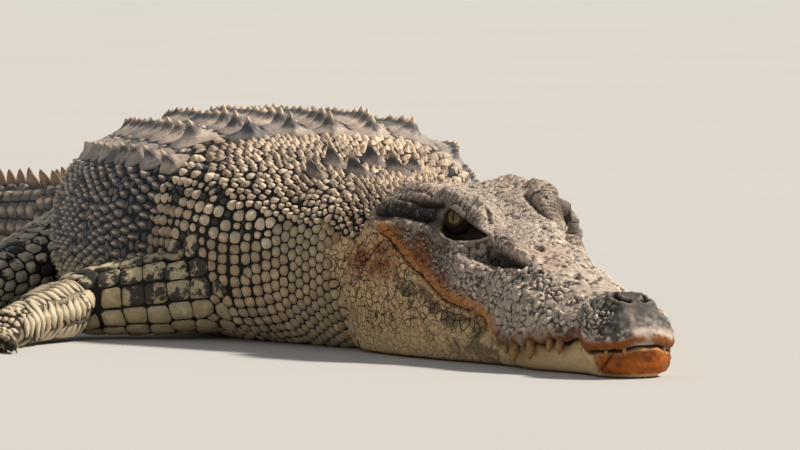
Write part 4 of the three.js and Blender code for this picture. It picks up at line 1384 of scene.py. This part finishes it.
# Some of these colours are painted shade: the darks for folds and hollows, under the skull table, in the slits
# and round the eye sockets. The cheek colour is partly painted shade, and topPale also serves as a painted
# highlight on raised rims.
headPaint = {
    "top": "a39386", "topPale": "e0d0be", "topDark": "423a37", "pink": "b08c7a", "hollowShade": "1c1512",
    "slate": "383637", "cheek": "3f322a", "templeShade": "262325", "lip": "824404", "chin": "9a4a02",
    "stripe": "b87a3c", "gum": "6e4218", "jaw": "d4b488", "jawLow": "e2c494", "jawDark": "463a2f",
    "stain": "8a4a20", "pad": "4c4540", "slit": "120e0b", "socket": "30221a", "lid": "766a60",
}
# each kind of scale: its two colours and the colour of the grooves round it
scalePaint = {
    "nape": ("e6ceb2", "7a6757", "1c1510"), "nuchal": ("a08d7a", "5c5a5e", "2c2a28"),
    "back": ("cdb8a6", "7c7876", "24221f"), "flank": ("77706c", "3f444f", "131417"),
    "neckSide": ("c8b18f", "a08c6e", "1f1812"), "bead": ("f0dcc0", "a28d76", "171412"),
    "belly": ("cbb88a", "b8a57a", "6d6044"), "tail": ("7a6c5e", "454345", "222124"),
    "tailUnder": ("b3a27d", "8e7f66", "5a4f3a"), "armPlate": ("cdbd98", "b3a27e", "1f1a14"),
    "armBand": ("d8c9ab", "b0a184", "191511"), "legPlate": ("d6cab2", "9d9384", "1c1a18"),
    "legBand": ("d0c4ac", "9a9080", "1a1816"), "paw": ("c6b496", "8d7e68", "1f1a16"),
}
# each kind of scale: strength of the dark blotches, and the heights between which they begin
blotchPlan = {
    "armPlate": (0.5, 26, 50), "armBand": (0.08, 22, 44), "legPlate": (0.42, 20, 50),
    "legBand": (0.36, 20, 46),
    "paw": (0.24, 4, 22), "tail": (0.2, 0, 10), "flank": (0.2, 50, 90), "back": (0.1, 0, 10),
}


def layered(c, layers):
    for name, amount in layers:
        c = tint(c, headPaint[name], amount)
    return c


def topLayers(at):
    d, z, mid, small = at.d, at.z, at.mid, at.small
    # side and offRidge darken the head's sides behind the eye but not the cheek ridge: partly dark hide,
    # partly painted shade
    side = fade(at.out, at.edge * 0.95, at.edge * 1.2) * fade(d, 268, 296) * fade(z, 174, 160)
    offRidge = 1 - 0.75 * hill(nearLine(at, "cheekRidge"), 0, 6)
    return [
        ("topPale", 0.4 + 0.9 * mid + 0.3 * at.big),
        ("pink", 0.45 * fade(at.big, -0.1, 0.5) + 0.3 * fade(d, 300, 400) * fade(at.out, 25, 60)),
        ("topDark", 0.9 * fade(0.9 * small + 0.8 * mid, 0.08, 0.5)),
        ("cheek", 0.88 * side * offRidge * fade(mid, -1.0, 0.0)),
        ("slate", 0.85 * fade(d, 96, 74) * fade(at.t, 16, 24) * fade(mid + 0.4 * small, -0.8, 0.0)),
        # the sides behind the eye darker than the top: partly dark hide, partly painted shade
        ("topDark", 0.5 * fade(at.out, at.edge * 0.8, at.edge * 1.1) * fade(d, 250, 300)
         * fade(mid, -0.5, 0.3)),
    ]


def jawLayers(at):
    shadow = fade(at.t, -80, -30) * fade(at.t, -2, -9) * fade(at.d, 150, 230) * fade(at.d, 425, 350)
    spots = at.mid + 0.5 * at.small
    return [
        ("jawLow", fade(at.z, 55, 15)),
        ("jawDark", 0.7 * shadow * fade(spots, -0.2, 0.35)),
        ("jawDark", 0.4 * fade(spots, 0.3, 0.6) * fade(at.z, 20, 60)),
    ]


def mouthLayers(at):
    # rust on the lips and chin, paler toward the mouth's corner
    d, z, t, mid, small = at.d, at.z, at.t, at.mid, at.small
    mouth = fade(at.out, at.edge * 0.4, at.edge * 0.9) * fade(d, 404, 392)
    behind = mouth * fade(d, 196, 215)  # from the big teeth to the corner
    rise = fade(d, 30, 60)
    chin, gums = fade(d, 46, 30) * fade(t, -1, -4), fade(d, 74, 90) * fade(d, 222, 200) * hill(t, 3, 10)
    lowChin = fade(z, 1, 6)
    rust = fade(d, 345, 375) * fade(d, 490, 450) * hill(z, 104, 20)
    corner = hill(d, 325, 45) * hill(t, 26, 13) * mouth
    return [
        ("lip", 0.95 * fade(d, 92, 72) * fade(t, 14 + 6 * rise, 8 + 3 * rise) * fade(t, -3, -1)
         * fade(mid, -0.8, 0.1)),
        ("chin", 0.97 * fade(d + 5 * mid, 44, 30) * fade(t, -1, -4) * lowChin * fade(small, -1.6, -0.9)),
        ("stripe", 0.55 * chin * fade(0.8 * small + 0.6 * mid, 0.0, 0.5) * lowChin),
        ("cheek", 0.5 * fade(d, 50, 34) * fade(t, 0, -2) * fade(0.9 * small - 0.5 * mid, 0.05, 0.45)
         * lowChin),
        ("gum", 0.9 * mouth * gums * fade(mid + 0.5 * small, -1.0, -0.1)),
        ("stripe", 0.9 * behind * hill(t, 8, 10) * fade(mid, -1.0, -0.2)),
        ("lip", 0.4 * behind * hill(t, 3, 4) * fade(small, -0.3, 0.4)),
        ("stain", 0.85 * rust * fade(mid, -0.7, 0.2)),
        ("stain", 0.75 * corner * fade(mid + 0.6 * small, -0.1, 0.4)),
    ]


def creaseLayers(at, up, cavity):
    # the nose pad's own darker colour, and painted shade: in the nostril slits, along the mouth's line, in
    # every fold, groove and hollow, and under the skull table's edge
    d, z, small = at.d, at.z, at.small
    pad = ovalFrom(at, (40, 0), (20, 28), at.left)
    wide = 2.4 + 4.2 * fade(d, 205, 248) + 1.6 * at.mid
    hollow = fade(nearLine(at, "browHollow", True), 1.5 * wide, 0.5 * wide) * fade(at.out, 26, 34)
    temple = (fade(d, 326, 345) * fade(d, 432, 408) * fade(z, 141, 149) * fade(z, 171, 165)
              * fade(at.out, 58, 66))
    return [
        ("pad", 0.75 * fade(pad, 1.6, 0.7) * fade(up, 0, 0.4)),
        # painted shade in the nostril slits
        ("slit", fade(nearLine(at, "nostril"), 4.0, 1.5)),
        # painted shade in the creases by the eyes and ears, and in every concave place
        *(("hollowShade", dark * hill(nearLine(at, name), 0, wide)) for name, dark, wide in (
            ("lidFurrow", 0.85, 3.0), ("temple", 0.85, 7.5), ("lidCrease", 0.7, 3), ("earSlit", 0.85, 4))),
        ("hollowShade", fade(cavity, -0.04, -0.3) * 0.94),
        # painted shade along the mouth's line between the jaws
        ("slit", 0.9 * hill(at.t, 0, 1.4) * sideOfMouth(at)),
        # painted shade in the hollow under the brow's ridge
        ("hollowShade", 0.86 * hollow * fade(d, 272, 256) * fade(small, -1.6, -0.4)),
        # painted shade under the skull table's edge
        ("templeShade", 0.85 * temple * fade(small, -1.0, 0.2)),
    ]


def eyeLayers(p, side):
    g, x, y, socket, slit = eyePlaces(p, side)
    over = fade(y, -12, 0) * fade(x, 24, 14) * fade(x, -14, -8)
    return [
        ("lid", (0.7 if side < 0 else 0.2) * over * fade(socket, 8, 4) * fade(socket, -1, 0.5)),
        # painted shade round each socket and inside it, where the brow overhangs the eye, and on the lids'
        # rims
        ("socket", 0.5 * fade(socket, 7, 0)),
        ("slit", (0.62 + 0.3 * fade(y, -20, -8)) * fade(socket, 0.2, -1.4)),
        ("socket", 0.8 * fade(socket, -1, -2) * hill(slit, 1.2, 1.2)),
    ]


def headColours(p, plain, n, cavity):
    at = headPlaces(plain)
    at.edge = skullAt(at.d, "tableWide")
    at.big, at.mid, at.small = roughNoise(p, 60, 2, 61), roughNoise(p, 15, 3, 63), roughNoise(p, 5, 2, 67)
    under = np.where(at.d < 400, fade(at.t, 1, -2), fade(at.z, 150, 132))  # 1 on the lower jaw and jowl
    top, jaw = (np.tile(colour(headPaint[name]), (len(p), 1)) for name in ("top", "jaw"))
    c = mix(layered(top, topLayers(at)), layered(jaw, jawLayers(at)), under[:, None])
    # a painted highlight: paler on every convex rim and knob of the upper head
    c = layered(c, [("topPale", fade(cavity, 0.05, 0.3) * 0.75 * (1 - under))])
    c = layered(c, mouthLayers(at) + creaseLayers(at, n[:, 2], cavity))
    for side in (1, -1):
        c = layered(c, eyeLayers(p, side))
    return c, under


def seedColours():
    # one colour for each scale, its groove's colour, and how strongly dark blotches lie over it
    spots = seeds["place"]
    s, z = toSpine(spots)[0], spots[:, 2]
    one = draw.random(len(spots))
    big, mid = roughNoise(spots, 120, 2, 71), roughNoise(spots, 45, 2, 73)
    paints = np.array([[colour(code) for code in scalePaint[name]] for name in kindIndex])
    first, second, groove = np.moveaxis(paints[seeds["kind"].astype(int)], 1, 0)
    c = mix(first, second, np.clip(0.55 * one + 0.2 + 0.6 * mid, 0, 1)[:, None])
    low = fade(z / bodySection(s)[1], 0.42, 0.1)
    bars = fade(np.sin(s / 46) + 1.6 * mid, 0.3, 1.0) * fade(s, 1350, 1500)  # broad bars, broken into spots
    for kinds, code, amount in (
        (("flank", "tail"), "c4b286", 0.85 * low),
        (("flank", "tail", "back"), "43464d", 0.8 * fade(mid + 0.5 * big, 0.0, 0.5) * (1 - low)),
        (("tail",), "2f2c28", 0.7 * bars),
        (("neckSide",), "8c8270", 0.4 * fade(z, 60, 120)),
        (("neckSide",), "9a6238", 0.7 * fade(s, 530, 500) * fade(z, 60, 90)),
        (("neckSide",), "35322f", fade(mid, 0.0, 0.3) * fade(z, 95, 125) * one > 0.6),
        (("bead",), "3a3733", (seeds["long"] < 7) & (one < 0.45)),
    ):
        c = tint(c, code, amount * isOf(seeds, *kinds))
    blots = sum(amount * fade(z, start, end) * isOf(seeds, kind)
                for kind, (amount, start, end) in blotchPlan.items())
    return c, groove, blots


def paintMesh(mesh, rgb, **values):
    layer = mesh.color_attributes.new("tone", "FLOAT_COLOR", "POINT")
    rgba = np.concatenate([np.clip(rgb, 0, 1), np.ones((len(rgb), 1))], 1)
    layer.data.foreach_set("color", rgba.astype(np.float32).ravel())
    for name, value in values.items():
        layer = mesh.attributes.new(name, "FLOAT", "POINT")
        layer.data.foreach_set("value", np.asarray(value, np.float32))


def paintScales(coat, tones, grooves, blots):
    mesh, points, share = coat["piece"].data, coat["points"], coat["share"]
    c, groove, keel, small, blot = (np.repeat(values[coat["chosen"]], coat["per"], 0)
                                    for values in (tones, grooves, seeds["keel"], seeds["size"], blots))
    c = c * (1 + 0.24 * noise(points, 5, 81) + 0.16 * noise(points, 2.2, 83))[:, None]
    # painted light and shade: each scale paler on its raised middle and darker toward its edge
    c = c * mix(1.12, 0.84, fade(share, 0.15, 0.95))[:, None]
    tall = fade(keel, 6, 10)
    part = coat["lift"] / np.maximum(keel, 1)
    # tall keels: painted shade of slate on the blade's face and a painted highlight of tan at the tip; low
    # keels get a painted highlight of tan along their ridge
    dark = fade(part + 0.12 * noise(points, 6, 87), 0.14, 0.36) * (1 - fade(part, 0.62, 0.8))
    c = tint(c, "33363d", 0.84 * tall * dark)
    c = tint(c, "d6bd9c", 0.8 * tall * fade(part, 0.55, 0.8) * fade(noise(points, 9, 85), -0.8, 0.3))
    c = tint(c, "d8c0a4", 0.85 * fade(keel, 2, 3) * (1 - tall) * fade(part, 0.25, 0.65))
    rim = fade(share, np.clip(1 - 0.55 / small, 0.82, 0.96), 0.985)
    paintMesh(mesh, mix(c, groove, (0.94 * rim)[:, None]), blotch=blot)
    layer = mesh.uv_layers.new(name="OFBake")
    corner = readOut(mesh.loops, "vertex_index", 1, np.int32)[:, 0]
    layer.data.foreach_set("uv", coat["uv"][corner].astype(np.float32).ravel())


def paintSkin(tones, grooves):
    # the grooves' colour under the scales, their own where they are sparse, and the head's colours
    mesh = skin.data
    p, n = localPoints(mesh), meshNormals(mesh)
    cavity = np.einsum("ij,ij->i", p - smoothed(p, meshEdges(mesh), np.ones(len(p)), 3), n)
    s = toSpine(p)[0]
    kd = treeOf(seeds["place"])
    found = np.array([kd.find(Vector(q))[1:] for q in p])
    near, away = found[:, 0].astype(int), found[:, 1]
    bare = fade(away / seeds["size"][near], 1.7, 2.6) * fade(s, 480, 540)
    c = mix(grooves[near], tones[near] * 0.5, bare[:, None])
    onHead = s < skinPlan["headEnd"] + 20
    headC, under = headColours(p[onHead], plainPoints[onHead], n[onHead], cavity[onHead])
    blend = fade(away[onHead], 5.5, 8.5)
    c[onHead] = mix(c[onHead], headC, blend[:, None])
    crack = np.zeros(len(p))
    crack[onHead] = (0.45 + 0.55 * under) * fade(s[onHead], 120, 260) * blend * fade(p[onHead, 2], 10, 36)
    paintMesh(mesh, c, crack=crack, blotch=np.zeros(len(p)))


class Shade:
    # a material, and short ways to add nodes to it
    def __init__(self, name):
        self.material = bpy.data.materials.new(name)
        self.material.use_nodes = True
        self.tree = self.material.node_tree
        self.shader = self.tree.nodes["Principled BSDF"]

    def node(self, kind, inputs=None, **settings):
        made = self.tree.nodes.new(kind)
        for key, value in settings.items():
            setattr(made, key, value)
        for key, value in (inputs or {}).items():
            self.put(made.inputs[key], value)
        return made

    def put(self, socket, value):
        if isinstance(value, bpy.types.NodeSocket):
            self.tree.links.new(value, socket)
        else:
            socket.default_value = value

    def attribute(self, name, socket="Fac"):
        return self.node("ShaderNodeAttribute", attribute_name=name).outputs[socket]

    def place(self):
        return self.node("ShaderNodeTexCoord").outputs["Object"]

    def math(self, operation, a, b=0.0):
        return self.node("ShaderNodeMath", {0: a, 1: b}, operation=operation).outputs[0]

    def between(self, value, start, end, low=0.0, high=1.0):
        inputs = {"Value": value, "From Min": start, "From Max": end, "To Min": low, "To Max": high}
        return self.node("ShaderNodeMapRange", inputs).outputs["Result"]

    def noise(self, place, scale, detail=4.0, roughness=0.55, output="Fac"):
        inputs = {"Vector": place, "Scale": scale, "Detail": detail, "Roughness": roughness}
        return self.node("ShaderNodeTexNoise", inputs).outputs[output]

    def cellEdges(self, place, scale):
        inputs = {"Vector": place, "Scale": scale}
        return self.node("ShaderNodeTexVoronoi", inputs, feature="DISTANCE_TO_EDGE").outputs["Distance"]

    def blend(self, mode, amount, a, b):
        return self.node("ShaderNodeMix", data_type="RGBA", blend_type=mode,
                         inputs={0: amount, 6: a, 7: b}).outputs[2]

    def toned(self, grain, dark, pale):
        # the painted tone, speckled from dark to pale
        return self.blend("MULTIPLY", 1.0, self.attribute("tone", "Color"),
                          self.blend("MIX", grain, dark, pale))

    def bump(self, height, strength, distance, below=None):
        inputs = {"Height": height, "Strength": strength, "Distance": distance}
        if below is not None:
            inputs["Normal"] = below
        return self.node("ShaderNodeBump", inputs).outputs["Normal"]

    def finish(self, shown, roughness, specular, relief=None):
        self.put(self.shader.inputs["Base Color"], shown)
        self.put(self.shader.inputs["Roughness"], roughness)
        self.shader.inputs["Specular IOR Level"].default_value = specular
        if relief is not None:
            self.put(self.shader.inputs["Normal"], relief)
        return self.material


hidePlan = {
    "speckleDark": (0.66, 0.64, 0.62, 1), "specklePale": (1.34, 1.33, 1.31, 1),
    "dustColour": (0.34, 0.25, 0.17, 1),
    "blotchColour": (0.017, 0.017, 0.019, 1), "crackColour": (0.022, 0.016, 0.011, 1),
    "grainScale": 420, "wrinkleScale": 900, "blotchScale": 36, "crackScale": 105, "dustScale": 28,
    "driftScale": 80.0, "drift": (0.009, 0.009, 0.009), "bumpy": 0.35,
}


def crackedHide(shade, place, shown, relief):
    # wandering cracks between plates, missing in patches
    drift = shade.noise(place, hidePlan["driftScale"], 3.0, 0.5, "Color")
    moved = shade.node("ShaderNodeVectorMath", {0: drift, 1: hidePlan["drift"], 2: place},
                       operation="MULTIPLY_ADD").outputs[0]
    net = shade.cellEdges(moved, hidePlan["crackScale"])
    kept = shade.between(shade.noise(place, 24, 3.0), 0.34, 0.5)
    kept = shade.math("MULTIPLY", shade.attribute("crack"), kept)
    strength = shade.math("MULTIPLY", shade.between(net, 0.075, 0.02), kept)
    shown = shade.blend("MIX", shade.math("MULTIPLY", strength, 0.9), shown, hidePlan["crackColour"])
    return shown, shade.bump(shade.math("SUBTRACT", 1.0, strength), 0.7, 0.0012, relief)


def hideMaterial(name, roughness, cracked=False, specular=0.35, dusty=0.07):
    plan, shade = hidePlan, Shade(name)
    place = shade.place()
    grain = shade.noise(place, plan["grainScale"], 5.0, 0.6)
    shown = shade.toned(grain, plan["speckleDark"], plan["specklePale"])
    dust = shade.between(shade.noise(place, plan["dustScale"], 3.0), 0.35, 0.7, 0.0, dusty)
    shown = shade.blend("MIX", dust, shown, plan["dustColour"])
    amount = shade.attribute("blotch")
    ragged = shade.noise(place, plan["blotchScale"], 6.0, 0.68)
    reach = shade.math("ADD", ragged, shade.math("MULTIPLY", amount, 0.34))
    mask = shade.math("MULTIPLY", shade.between(reach, 0.655, 0.7), shade.between(amount, 0.0, 0.08))
    shown = shade.blend("MIX", shade.math("MULTIPLY", mask, 0.93), shown, plan["blotchColour"])
    wrinkle = shade.between(shade.cellEdges(place, plan["wrinkleScale"]), 0.0, 0.25)
    relief = shade.bump(grain, plan["bumpy"], 0.0009, shade.bump(wrinkle, plan["bumpy"] * 0.6, 0.0004))
    if cracked:
        shown, relief = crackedHide(shade, place, shown, relief)
    return shade.finish(shown, shade.between(grain, 0.3, 0.7, roughness - 0.09, roughness + 0.09), specular,
                        relief)


def hornMaterial(name, roughness, streak):
    # teeth and claws: fine streaks and a soft gloss
    shade = Shade(name)
    fine = shade.noise(shade.place(), streak, 4.0, 0.6)
    shown = shade.toned(fine, (0.7, 0.68, 0.64, 1), (1.25, 1.24, 1.22, 1))
    gloss = shade.between(fine, 0.3, 0.7, roughness - 0.06, roughness + 0.06)
    return shade.finish(shown, gloss, 0.45, shade.bump(fine, 0.25, 0.0005))


def eyeMaterial():
    shade = Shade("eyeGlass")
    shown = shade.toned(shade.noise(shade.place(), 1400, 3.0), (0.7, 0.7, 0.66, 1), (1.3, 1.28, 1.2, 1))
    shade.shader.inputs["Coat Weight"].default_value = 0.35
    shade.shader.inputs["Coat Roughness"].default_value = 0.03
    return shade.finish(shown, 0.35, 0.25)


tones, grooves, blots = seedColours()
scaleHide = hideMaterial("scaleHide", 0.52)
for coat in coats.values():
    paintScales(coat, tones, grooves, blots)
    coat["piece"].data.materials.append(scaleHide)
paintSkin(tones, grooves)
skin.data.materials.append(hideMaterial("headHide", 0.6, cracked=True, specular=0.15, dusty=0.02))
print("painted")


def bentHorn(a, b, c, radius, flat=1.0, blunt=1.5):
    # rings of points round a tapering horn that leaves a toward b and ends at c
    t = np.linspace(0, 1, 9)[:, None]
    line = (1 - t) ** 2 * a + 2 * t * (1 - t) * b + t * t * c
    ahead = np.gradient(line, axis=0)
    ahead /= np.linalg.norm(ahead, axis=1)[:, None]
    upright = abs((c - a)[2]) >= 0.7 * np.linalg.norm(c - a)
    across = np.cross(ahead, np.array([0, 1.0, 0]) if upright else up)
    across /= np.linalg.norm(across, axis=1)[:, None]
    upward = np.cross(across, ahead)
    size = (radius * (1 - t ** blunt) + 0.25)[:, :, None]
    angle = ringAngles(14)[None, :, None]
    return line[:, None] + size * (np.cos(angle) * across[:, None] * flat + np.sin(angle) * upward[:, None])


def buildHorns(name, horns, plan, material):
    made = makeObject(name, *joined([shellMesh(rings) for rings in horns]))
    made.data.shade_smooth()
    # how far along its horn each point is: the rings, then the middles of the two ends
    share = [np.append(np.repeat(np.linspace(0, 1, len(rings)), rings.shape[1]), (0, 1)) for rings in horns]
    share = np.concatenate(share) + 0.25 * noise(localPoints(made.data), 4, 91)
    paintMesh(made.data, mix(colour(plan["root"]), colour(plan["tip"]), fade(share, 0.15, 0.6)[:, None]))
    made.data.materials.append(material)
    return made


# distance back, length, thickness; the lower teeth stand in front of the upper lip
toothPlan = {
    "upper": [(98, 12, 8), (110, 9, 7), (132, 15, 10), (158, 18, 11), (182, 8, 7), (206, 5, 6), (232, 6, 7),
              (248, 6, 7)],
    "lower": [(11, 9, 4.5), (24, 6, 4)],
    "root": "744521", "tip": "a98755", "blunt": 3.2,
}


def toothLine(row, d, length):
    # how far out the tooth stands, and its root, bend and tip as places ahead, out and up from there
    if row == "upper":
        return skullAt(d, "lipWide") - 0.5, ((-1.5, -1.5, 6), (-1.5, 1.0, -length * 0.4),
                                             (1.2, -0.6, -length))
    return jawAt(d, "topWide") + 3.0, ((0, -1.0, -6), (0, 2.0, length * 0.3), (0, 1.0, length - 4))


def buildTeeth():
    horns = []
    for side, row in product((-1, 1), ("upper", "lower")):
        for d, length, thick in toothPlan[row]:
            out, line = toothLine(row, d, length)
            a, b, c = (headPoint(d + lean, side * (out + away), skullAt(d, "lip") + z)
                       for lean, away, z in line)
            horns.append(bentHorn(a, b, c, thick / 2, blunt=toothPlan["blunt"]))
    return buildHorns("teeth", horns, toothPlan, hornMaterial("toothIvory", 0.38, 300))


clawPlan = {"length": 19, "radius": 5, "root": "3a3026", "tip": "1c1815"}


def buildClaws():
    long = clawPlan["length"]
    horns = []
    for kind, side, joints in allLimbs():
        paw = Paw(kind, side, joints)
        for digit in paw.digits[:pawPlan["clawed"]]:
            a, b, c = (paw.at(*paw.flat(digit, digit[0] * 0.93 + reach), z)
                       for reach, z in ((-4, 6.5), (long * 0.55, 12), (long, 1.4)))
            horns.append(bentHorn(a, b, c, clawPlan["radius"], flat=0.8, blunt=1.3))
    return buildHorns("claws", horns, clawPlan, hornMaterial("clawHorn", 0.34, 180))


crestPlan = {
    # from, to, how many, share of the half width, height, half thickness
    "rows": [(1440, 1740, 7, 0.5, 17, 6), (1760, 2090, 8, 0.46, 20, 6), (2110, 2290, 4, 0.3, 23, 5.5),
             (2304, 2440, 4, 0, 27, 5), (2460, 2750, 9, 0, 29, 4.5), (2770, 3036, 9, 0, 24, 4)],
    "lean": 0.36, "sunk": 5, "levels": 9, "sides": 18,
    "root": "3d3936", "tip": "927558",
}


def crestRings(s, side, pitch, across, tall, thick, bend):
    # one flap: rings from its sunk foot to its tip, leaning back and, in the two rows, outward
    place = onBody(s, side * across * float(bodySection(s)[0]))[0]
    back = backward(s)
    crossing = np.array([back[1], -back[0], 0])
    rising = up + crossing * (side * 0.22 if across else 0)
    angle = ringAngles(crestPlan["sides"])
    rings = []
    for v in np.linspace(0, 1, crestPlan["levels"]):
        half, deep = pitch * 0.56 * (1 - v ** 2.2) ** 0.8 + 0.5, thick * (1 - v ** 1.6) ** 0.8 + 0.6
        middle = place + rising * (tall * v - crestPlan["sunk"] * (1 - v))
        middle = middle + back * (crestPlan["lean"] * pitch * v ** 1.3)
        swing = np.sin(angle) * np.abs(np.sin(angle)) ** 0.25 * deep + 0.6 * math.sin(bend + 5 * v) * v
        rings.append(middle + back * (np.cos(angle) * half)[:, None] + crossing * swing[:, None])
    return np.array(rings)


def buildCrests():
    # upright flaps along the tail, two rows that become one
    flaps = []
    for start, end, count, across, high, thick in crestPlan["rows"]:
        pitch = (end - start) / count
        for k, side in product(range(count), (-1, 1) if across else (1,)):
            tall = high * draw.uniform(0.9, 1.08)
            flaps.append(crestRings(start + pitch * (k + 0.5), side, pitch, across, tall, thick, 3.1 * k))
    return buildHorns("tailCrests", flaps, crestPlan, hideMaterial("crestHide", 0.55))


irisPlan = {
    "irisAngle": 0.82, "pupilHalf": 0.075, "pupilTall": 0.62, "cornea": 0.9,
    "iris": "6b552a", "irisDark": "30220e", "rim": "15110c", "ballShade": "1d1611", "pupil": "050403",
}


def buildEye(word, side):
    # a ball whose rings lie round the way it looks, with a slit pupil and a streaked iris
    plan, (gaze, level, upward) = irisPlan, eyeAxes(side)
    polar = np.concatenate([np.linspace(0, 1.1, 56), np.linspace(1.16, math.pi, 24)])[:, None]
    turn = (np.arange(128) * 2 * math.pi / 128)[None, :]
    radius = eyePlan["radius"] - 0.35 + plan["cornea"] * fade(polar, 0.8, 0.3)
    rings = (np.cos(polar)[..., None] * gaze + (np.sin(polar) * np.cos(turn))[..., None] * level
             + (np.sin(polar) * np.sin(turn))[..., None] * upward)
    ball = makeObject("eye" + word.capitalize(), *shellMesh(eyeMiddle[side] + radius[..., None] * rings))
    ball.data.shade_smooth()
    away = (polar + 0 * turn).ravel()
    streak = noise(np.stack([(v + 0 * polar).ravel() for v in (np.cos(turn), np.sin(turn))]
                            + [0.3 * away], -1), 0.07, 95)
    c = mix(colour(plan["iris"]), colour(plan["irisDark"]), fade(streak, -0.3, 0.9)[:, None])
    slit = (np.abs(polar * np.cos(turn)) / plan["pupilHalf"]
            + (np.abs(polar * np.sin(turn)) / plan["pupilTall"]) ** 2)
    edge = plan["irisAngle"]
    # the ball beyond the iris is painted near black as the socket's painted shade
    for name, amount in (("irisDark", 0.7 * fade(away, 0.55, 0.8)), ("rim", fade(away, edge - 0.06, edge)),
                         ("ballShade", fade(away, edge + 0.05, edge + 0.12)),
                         ("pupil", fade(slit.ravel(), 1.12, 0.95))):
        c = tint(c, plan[name], amount)
    paintMesh(ball.data, np.concatenate([c, c[:1], c[-1:]]))
    ball.data.materials.append(eyeGlass)
    return ball


teeth = buildTeeth()
claws = buildClaws()
tailCrests = buildCrests()
eyeGlass = eyeMaterial()
eyes = {word: buildEye(word, side) for word, side in sides.items()}
print("teeth, claws, crests and eyes made")

# The studio: floor, lights and the camera.
studioPlan = {
    "floorHalf": 200, "floorColour": (0.53, 0.51, 0.485), "floorShade": (0.50, 0.48, 0.455),
    "keyFrom": (0.66, -0.12, 0.70), "keyPower": 4.9, "keyColour": (1.0, 0.94, 0.85), "keySoftness": 7,
    "camera": (-1.640, -7.748, 0.519), "turn": 14, "down": 3.2, "lens": 291, "clip": (0.1, 400),
    "sky": (0.9, 0.94, 1.0), "skyStrength": 0.36,
}


def buildFloor():
    half = studioPlan["floorHalf"]
    mesh = bpy.data.meshes.new("floor")
    mesh.from_pydata([(-half, -half, 0), (half, -half, 0), (half, half, 0), (-half, half, 0)], [],
                     [(0, 1, 2, 3)])
    floor = linked("floor", mesh)
    shade = Shade("paleFloor")
    cloud = shade.noise(shade.place(), 1.6, 2.0)
    shown = shade.blend("MIX", cloud, (*studioPlan["floorColour"], 1), (*studioPlan["floorShade"], 1))
    mesh.materials.append(shade.finish(shown, 0.9, 0.2))


def aimed(name, data, direction, axis):
    # an object whose axis points in a direction
    made = linked(name, data)
    made.rotation_mode = "QUATERNION"
    made.rotation_quaternion = Vector(direction).to_track_quat(axis, "Y")
    return made


def buildLight():
    data = bpy.data.lights.new("key", "SUN")
    data.energy = studioPlan["keyPower"]
    data.color = studioPlan["keyColour"]
    data.angle = math.radians(studioPlan["keySoftness"])
    aimed("key", data, studioPlan["keyFrom"], "Z")
    world = bpy.data.worlds.new("studio")
    world.use_nodes = True
    sky = world.node_tree.nodes["Background"].inputs
    sky["Color"].default_value = (*studioPlan["sky"], 1)
    sky["Strength"].default_value = studioPlan["skyStrength"]
    bpy.context.scene.world = world
    bpy.context.scene.view_settings.view_transform = "Standard"


def buildCamera():
    data = bpy.data.cameras.new("camera")
    data.lens = studioPlan["lens"]
    data.sensor_width = 36
    data.clip_start, data.clip_end = studioPlan["clip"]
    turn, down = math.radians(studioPlan["turn"]), math.radians(studioPlan["down"])
    aim = (math.sin(turn) * math.cos(down), math.cos(turn) * math.cos(down), -math.sin(down))
    camera = aimed("camera", data, aim, "-Z")
    camera.location = studioPlan["camera"]
    bpy.context.scene.camera = camera


buildFloor()
buildLight()
buildCamera()
print("studio built")

# a slot of the frame for each piece; the slots are not read, and every piece is attached to the root body
pieceSlots = {
    skin: "back", teeth: "skull", claws: "foot", tailCrests: "tail", eyes["left"]: "eye", eyes["right"]: "eye",
}
coatSlots = {
    "neckScales": "back", "backScutes": "back", "flankScales": "back", "tailScales": "tail",
    "armScales": "limb", "legScales": "limb", "pawScales": "foot",
}
for name, slotName in coatSlots.items():
    pieceSlots[coats[name]["piece"]] = slotName
for piece, slotName in pieceSlots.items():
    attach(piece, "root")
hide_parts(*[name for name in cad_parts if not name.startswith("eye")])
for word, ball in eyes.items():
    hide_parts("eye_" + word)
print("ready")
